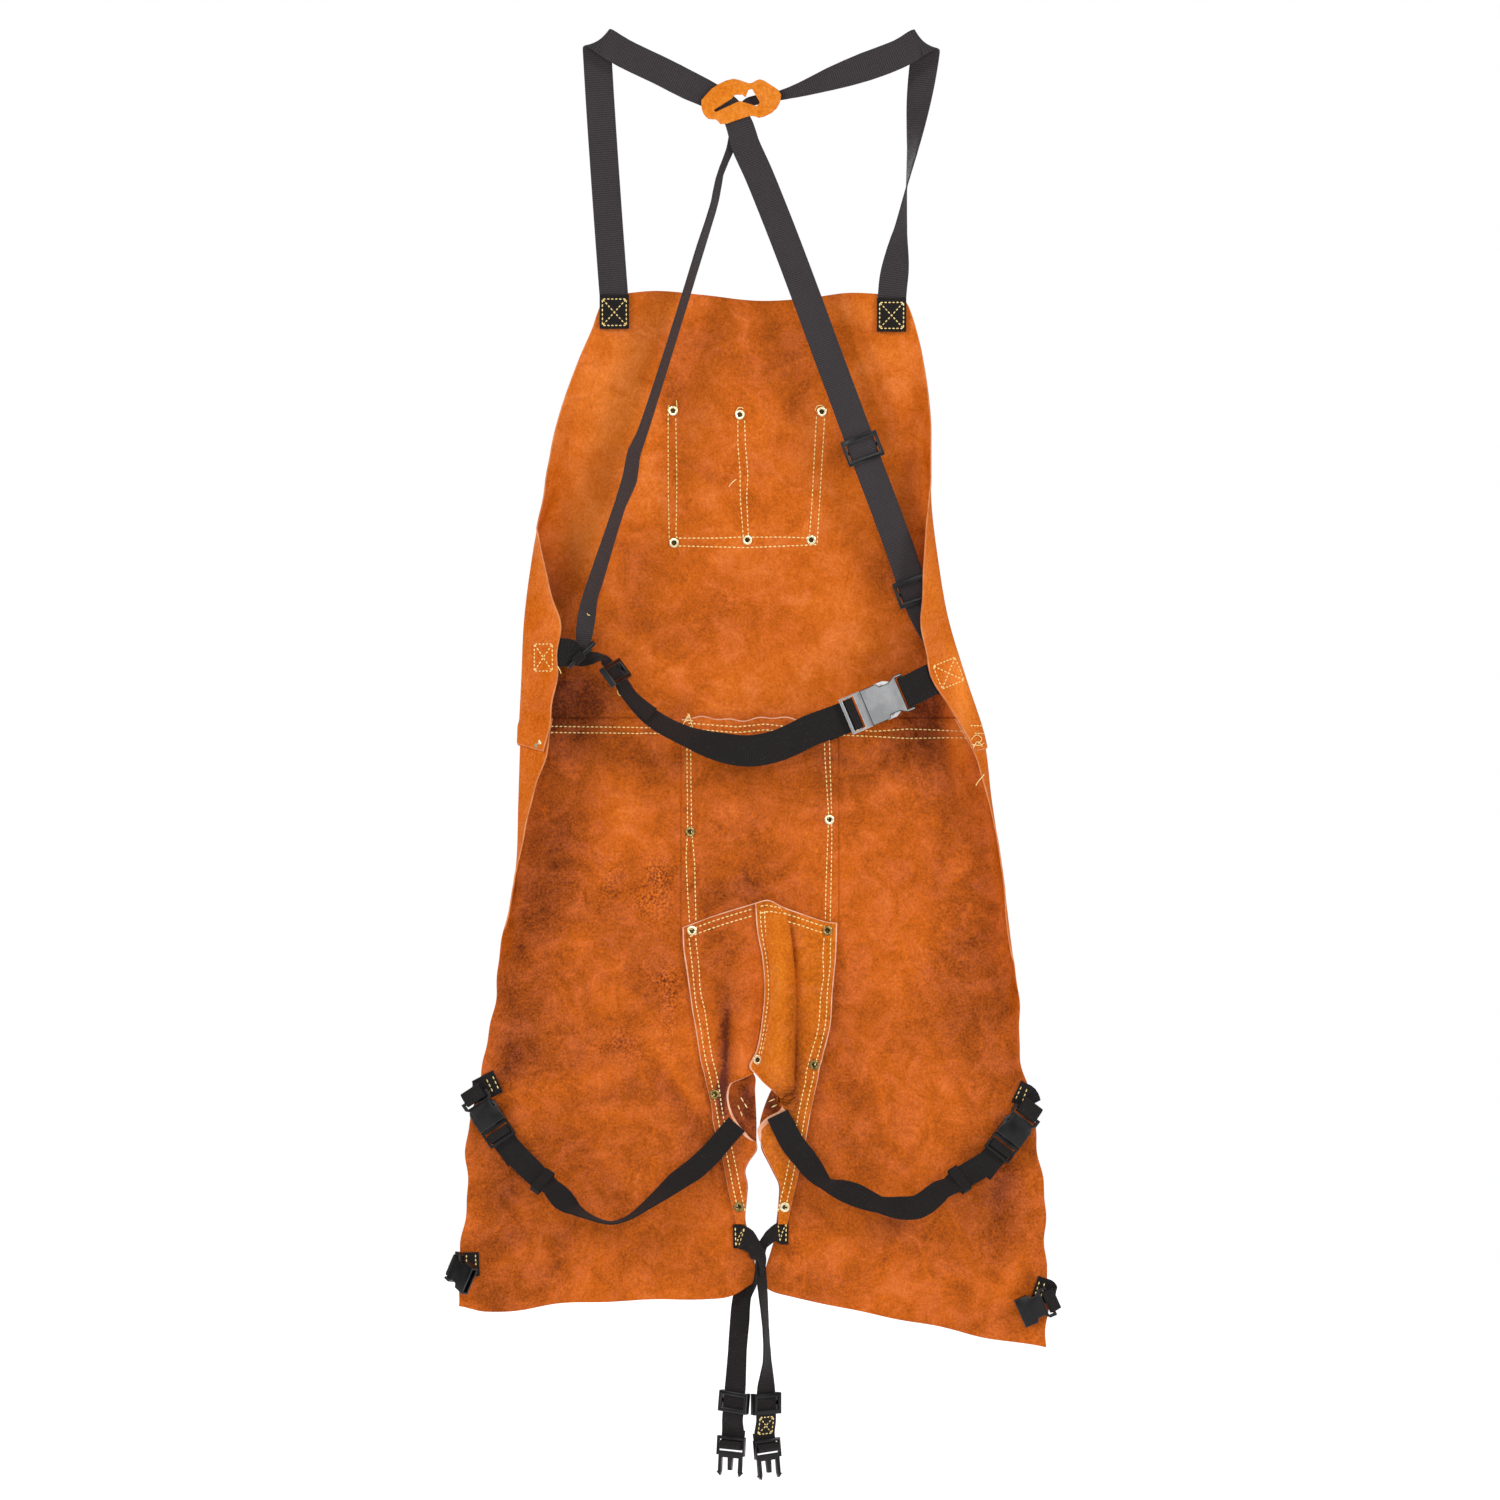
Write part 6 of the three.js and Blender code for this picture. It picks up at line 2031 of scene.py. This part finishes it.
# Every stitch in one set of rows: each row is a line of places and the way the surface faces there
def stitching(name, rows, length=STITCH_LENGTH, gap=STITCH_GAP, thread=THREAD):
    points = []
    faces = []
    total = 0
    for places, outs in rows:
        run = lengths_along(places)
        count = max(1, int(run[-1] / (length + gap)))
        pitch = run[-1] / count
        at = (np.arange(count) + 0.5) * pitch
        half = pitch * length / (length + gap) / 2
        start = read_along(run, places, at - half)
        end = read_along(run, places, at + half)
        out = unit(read_along(run, outs, at))
        along = end - start
        side = unit(np.cross(out, along))
        up = unit(np.cross(along, side))
        middle = (start + end) / 2 + up * thread * STITCH_RISE
        shaped = (
            middle[:, None]
            + along[:, None] * (stitch_points[None, :, :1] * STITCH_OVERLAP)
            + side[:, None] * (stitch_points[None, :, 1:2] * STITCH_WIDTH * thread)
            + up[:, None] * (stitch_points[None, :, 2:] * STITCH_HEIGHT * thread)
        )
        points.append(shaped.reshape(-1, 3))
        for n in range(count):
            base = total + n * len(stitch_points)
            faces.extend([[base + k for k in face] for face in stitch_faces])
        total += count * len(stitch_points)
    obj = mesh_object(name, np.concatenate(points), faces, [THREAD_LOOK])
    smooth_by_angle(obj, STITCH_SMOOTHING)
    place_on_root(obj, "leather")


ROW_STEP = 1.5


# A row on a sheet, along a line of (s, z) corners: side 1 is the wearer's face and -1 the outer face
def row_on(cloth, layer, corners, side=1):
    corners = np.asarray(corners, float)
    run = lengths_along(corners)
    at = np.linspace(0, run[-1], max(2, int(run[-1] / ROW_STEP)))
    s = np.interp(at, run, corners[:, 0])
    z = np.interp(at, run, corners[:, 1])
    height = layer * LAYER + side * LEATHER / 2
    return lifted(cloth, s, z, np.full(len(s), height)), towards_wearer(cloth, s, z) * side


# A box with a cross in it, from half sizes along and across, turned about its middle
def box_and_cross(middle, half, tilt=0):
    along = np.array((math.cos(tilt), math.sin(tilt))) * half[0]
    across = np.array((-math.sin(tilt), math.cos(tilt))) * half[1]
    corners = ((-1, 1), (1, 1), (1, -1), (-1, -1))
    a, b, c, d = (np.asarray(middle) + x * along + y * across for x, y in corners)
    return [(a, b), (b, c), (c, d), (d, a), (a, c), (d, b)]


# Rows of the chest pocket, seen on both faces
POCKET_FLOOR_END = [(-18, -521), (30, -521), (56, -522), (59, -480), (63.5, -394)]
POCKET_ROWS = [
    [(-92, -386), (-92, -470), (-91, -525), (-89, -530), (-10, -532), (64, -529), (67, -480), (72, -396)],
    [(-84, -396), (-83, -470), (-84, -522), (-40, -522), *POCKET_FLOOR_END],
    [(-19, -398), (-19, -425), (-16.5, -455), (-16.5, -480), (-13.2, -522)],
    [(-12, -398), (-11, -425), (-8.5, -455), (-9.7, -480), (-8, -520)],
]
stitching(
    "pocket_stitching",
    [row_on(hide, LAYER_OF["bib_panel"], row) for row in POCKET_ROWS]
    + [row_on(hide, LAYER_OF["chest_pocket"], row, -1) for row in POCKET_ROWS],
)

# Rows along the waist
WAIST_ROWS = [
    [(-235, -719), (-80, -721)],
    [(-235, -725.5), (-80, -727)],
    [(90, -722), (125, -724.5), (160, -722), (200, -723.5), (250, -725)],
    [(90, -728.5), (125, -730), (160, -732), (200, -731), (250, -732)],
]
CENTRE_TOP_ROWS = [
    [(-72, -716), (-20, -720), (10, -717), (50, -722), (82, -719)],
    [(-72, -722), (-20, -726), (10, -723), (50, -728), (82, -726)],
]
OUTER_WAIST_ROWS = [
    [(-262, -719), (268, -719)],
    [(-262, -727), (268, -727)],
]
stitching(
    "waist_stitching",
    [row_on(hide, LAYER_OF["left_leg_panel"], row) for row in WAIST_ROWS]
    + [row_on(hide, LAYER_OF["centre_panel"], row) for row in CENTRE_TOP_ROWS]
    + [row_on(hide, LAYER_OF["bib_panel"], row, -1) for row in OUTER_WAIST_ROWS],
)

# Rows down the two sides of the centre panel
CENTRE_ROWS = [
    [(-73, -718), (-72.5, -740), (-71.6, -828), (-73.3, -857), (-71.6, -892), (-69.5, -925)],
    [(-69, -718), (-68.6, -740), (-67.5, -828), (-64.2, -863), (-63.4, -898), (-62.8, -923)],
    [(71.5, -722), (72.6, -757), (76, -810), (75.6, -828), (73.2, -886), (72.6, -922)],
    [(77, -722), (77.6, -757), (79.3, -810), (79.4, -842), (78.5, -886), (77.6, -924)],
]
stitching("centre_seam_stitching", [row_on(hide, LAYER_OF["centre_panel"], row) for row in CENTRE_ROWS])

# Rows just inside the gussets' cut edges, down the centre seam and inside the arch
SEAM_INSETS = (5.5, 12.5)
CENTRE_SEAM_INSETS = (5, 9.4)
gusset_z = np.linspace(-940, -1226, 30)
centre_z = np.linspace(-912, -1062, 20)


def gusset_row(edge, inset, z):
    return np.stack([smooth(GUSSETS, "z", edge, z) + inset, z], axis=1)


def arch_row(drop, start, end):
    s = np.linspace(start, end, 24)
    return np.stack([s, smooth(ARCH, "x", "z", s) - drop], axis=1)


left_rows = [gusset_row("left_outer", inset, gusset_z) for inset in SEAM_INSETS]
left_rows += [arch_row(drop, -70, -4) for drop in SEAM_INSETS]
right_rows = [gusset_row("right_outer", -inset, gusset_z) for inset in SEAM_INSETS]
right_rows += [arch_row(drop, 4, 80) for drop in SEAM_INSETS]
right_rows += [gusset_row("right_inner", inset, centre_z) for inset in CENTRE_SEAM_INSETS]
stitching(
    "gusset_stitching",
    [row_on(gusset_hide, LAYER_OF["left_gusset"], row) for row in left_rows]
    + [row_on(gusset_hide, LAYER_OF["right_gusset"], row) for row in right_rows],
)

# The same seams on the outer face of the legs
leg_seam_z = np.linspace(-735, -1222, 44)
leg_rows = [gusset_row("left_outer", inset, leg_seam_z) for inset in SEAM_INSETS]
leg_rows += [gusset_row("right_outer", -inset, leg_seam_z) for inset in SEAM_INSETS]
stitching("leg_seam_stitching", [row_on(hide, LAYER_OF["left_leg_panel"], row, -1) for row in leg_rows])


# A row on a strap: its corners are lengths along the strap and across it from its middle
STRAP_ROW_POINTS = 24


def row_on_strap(band, corners, side):
    start, end = np.asarray(corners, float)
    along, across = np.linspace(start, end, STRAP_ROW_POINTS).T
    places, sides, ups = (read_along(band.lengths, v, along) for v in (band.places, band.sides, band.ups))
    out = ups * side
    return places + sides * across[:, None] + out * WEBBING / 2, out


def box_on_strap(band, start, end, half, side=1):
    lines = box_and_cross(((start + end) / 2, 0), ((end - start) / 2, half))
    return [row_on_strap(band, line, side) for line in lines]


# Lines across a sewn tab, at lengths along it, joined by a slanted line when there are two to join
def bars_on_strap(band, lengths, half, side, slanted=False):
    lines = [((at, -half), (at, half)) for at in lengths]
    if slanted:
        lines.append(((lengths[0], half), (lengths[1], -half)))
    return [row_on_strap(band, line, side) for line in lines]


# The right ankle strap's box lies between its slider and its plug
ABOVE_PLUG = slice(60, 100)
ANKLE_BOX_LENGTH = 18
ankle_box = length_at(right_ankle, 2, -1440, ABOVE_PLUG)
stitching(
    "strap_stitching",
    [
        *box_on_strap(left_end, 3.5, 31, 12.5),
        *box_on_strap(right_end, 3.5, 30.5, 12.5),
        *bars_on_strap(left_ankle, (2.5, 11), 10, 1, slanted=True),
        *bars_on_strap(right_ankle, (2.5, 11), 10, 1, slanted=True),
        *bars_on_strap(leg_tabs["left_ankle_tab"], (3.6, 13.5), 10.5, -1),
        *bars_on_strap(leg_tabs["right_ankle_tab"], (3, 9), 8, -1),
        *bars_on_strap(leg_tabs["left_thigh_tab"], (3, 10), 8, -1),
        *bars_on_strap(leg_tabs["right_thigh_tab"], (3, 10), 8, -1),
        *box_on_strap(right_ankle, ankle_box, ankle_box + ANKLE_BOX_LENGTH, 8.5),
    ],
    length=BOX_STITCH_LENGTH,
)


# Box stitching of the waist tabs, seen on the outer face of the flaps
def s_on_flap(side, x, z):
    z = np.float64(z)
    cut = section(z)
    edge = getattr(cut, side)
    curl_reach = CURL_RADIUS * (np.sin(edge.turn) - np.sin(cut.lean))
    straight = (edge.sign * (x - edge.start) - curl_reach) / np.cos(edge.turn)
    return float(edge.start + edge.sign * (edge.arc + straight))


def box_on_flap(side, middle, half, tilt):
    lines = box_and_cross(middle, half, math.radians(tilt))
    rows = [[(s_on_flap(side, x, z), z) for x, z in line] for line in lines]
    return [row_on(hide, LAYER_OF["bib_panel"], row, -1) for row in rows]


stitching(
    "flap_stitching",
    box_on_flap("left", (-220.5, -648), (9.5, 14), 0)
    + box_on_flap("right", (199.7, -664.3), (12.5, 12.8), 22),
    length=BOX_STITCH_LENGTH,
)

# Short stitches at the crotch
CROTCH_ROWS = [
    [(-19.5, -1114), (-13.8, -1127.5)],
    [(-16.5, -1106), (-8.5, -1119)],
    [(12, -1112), (30, -1104)],
    [(15, -1118), (31, -1110)],
]
crotch_rows = [row_on(hide, LAYER_OF["left_leg_panel"], row) for row in CROTCH_ROWS]
stitching("crotch_stitching", crotch_rows, length=5, gap=2)

# Loose thread ends left at the seams, each with the layer that it lies on
THREAD_ENDS = [
    (0, [(-83.5, -389), (-83, -384), (-83.5, -378)]),
    (0, [(-91.5, -389), (-92, -386), (-91, -383)]),
    (0, [(-21, -390), (-19, -386), (-16, -385), (-13, -387)]),
    (0, [(62, -389), (64, -384), (68, -383), (72, -386)]),
    (0, [(-28.4, -468.5), (-26, -465), (-20.5, -460.5)]),
    (2, [(-77, -718), (-74, -713), (-70.6, -707), (-69, -712), (-66.5, -721)]),
    (2, [(-76, -715), (-71, -713), (-66, -714)]),
    (2, [(-72, -706), (-69, -709), (-73, -711)]),
]
HIP_THREADS = [
    [(222, -734), (227, -729), (233, -733), (229, -738)],
    [(224, -742), (228, -736), (234, -741)],
    [(223, -739), (230, -740), (236, -737)],
]

# Bits of thread left on the straps and at the left flap, as places in space
STRAP_THREADS = [
    [(-176.5, -30.6, -599), (-176, -31, -603), (-172.5, -30.8, -604)],
    [(-206, -44.5, -657), (-203.5, -45, -661), (-202, -45, -665)],
    [(-143.5, -40.5, -681), (-143, -41, -686.5), (-138.5, -41, -688)],
]

# A thread end that hangs from the right leg's side edge, as steps from there
HANGING_THREAD_Z = -770
HANGING_THREAD = ((1, 0, 1), (-2, -1.5, -3), (-5, -2, -6), (-8, -2, -11))
THREAD_STEPS = 6


def loose_thread(layer, corners, side=1):
    points = curve_through([(s, 0, z) for s, z in corners], THREAD_STEPS)
    s = points[:, 0]
    z = points[:, 2]
    height = layer * LAYER + LEATHER / 2 + THREAD * (1 + np.sin(np.linspace(0, math.pi, len(points))) * 2)
    return lifted(hide, s, z, side * height), towards_wearer(hide, s, z) * side


def thread_in_space(corners):
    points = curve_through(corners, THREAD_STEPS)
    return points, np.tile(TO_WEARER, (len(points), 1))


leg_edge = hide(section(np.float64(HANGING_THREAD_Z)).right.end, HANGING_THREAD_Z)
hip_threads = [[(s_on_flap("right", x, z), z) for x, z in line] for line in HIP_THREADS]
stitching(
    "loose_threads",
    [loose_thread(*end) for end in THREAD_ENDS]
    + [loose_thread(0, line, -1) for line in hip_threads]
    + [thread_in_space(line) for line in STRAP_THREADS]
    + [thread_in_space(leg_edge + np.array(HANGING_THREAD))],
    length=3.2,
    gap=-0.6,
    thread=0.55,
)


# Camera, light and floor: a square view, with the origin at these pixels of it
VIEW_PIXELS = 1500
ORIGIN_ACROSS = 756
ORIGIN_DOWN = 38
PIXEL = 1.045 * MM
VIEW_WIDTH = VIEW_PIXELS * PIXEL
VIEW_MIDDLE = Vector(((VIEW_PIXELS / 2 - ORIGIN_ACROSS) * PIXEL, 0, (ORIGIN_DOWN - VIEW_PIXELS / 2) * PIXEL))
LENS = 135
SENSOR = 36
FLOOR_SIZE = 6
FLOOR_Z = -1.56

camera_data = bpy.data.cameras.new("camera")
camera_data.lens = LENS
camera_data.sensor_width = SENSOR
camera = link(bpy.data.objects.new("camera", camera_data))
camera.location = VIEW_MIDDLE + Vector((0, -VIEW_WIDTH * LENS / SENSOR, 0))
camera.rotation_euler = (math.radians(90), 0, 0)
bpy.context.scene.camera = camera


def soft_light(name, place, aim, size, power):
    data = bpy.data.lights.new(name, "AREA")
    data.shape = "RECTANGLE"
    data.size, data.size_y = size
    data.energy = power
    lamp = link(bpy.data.objects.new(name, data))
    lamp.location = place
    lamp.rotation_euler = (Vector(aim) - Vector(place)).to_track_quat("-Z", "Y").to_euler()


AIM = (0, 0, -0.75)
soft_light("left_softbox", (-3.0, -2.4, 1.3), AIM, (1.2, 1.6), 72)
soft_light("right_softbox", (3.0, -2.6, 0.9), AIM, (1.2, 1.6), 70)
soft_light("front_softbox", (0.3, -5.4, 0.3), AIM, (1.4, 1.0), 46)
soft_light("back_softbox", (-1.6, 3.4, 0.8), AIM, (2.0, 1.6), 80)

world = bpy.data.worlds.new("white_studio")
bpy.context.scene.world = world
world.use_nodes = True
world_tree = world.node_tree
shown = world_tree.nodes["Background"]
shown.inputs["Color"].default_value = (1, 1, 1, 1)
shown.inputs["Strength"].default_value = 1.0
lighting = add(world_tree, "ShaderNodeBackground", Color=(1, 1, 1, 1), Strength=0.26)
rays = world_tree.nodes.new("ShaderNodeLightPath")
either = world_tree.nodes.new("ShaderNodeMixShader")
world_tree.links.new(rays.outputs["Is Camera Ray"], either.inputs["Fac"])
world_tree.links.new(lighting.outputs[0], either.inputs[1])
world_tree.links.new(shown.outputs[0], either.inputs[2])
world_tree.links.new(either.outputs[0], world_tree.nodes["World Output"].inputs["Surface"])

deselect_all()
bpy.ops.mesh.primitive_plane_add(size=FLOOR_SIZE, location=(0, 0, FLOOR_Z))
floor = bpy.context.object
floor.name = "studio_floor"
PALE = (0.9, 0.9, 0.9, 1)
WHITE = (1, 1, 1, 1)
floor_look = new_look(
    "pale_floor", Base_Color=PALE, Roughness=0.9, Emission_Color=WHITE, Emission_Strength=0.45
)[0]
floor.data.materials.append(floor_look)

bpy.context.scene.view_settings.view_transform = "Standard"
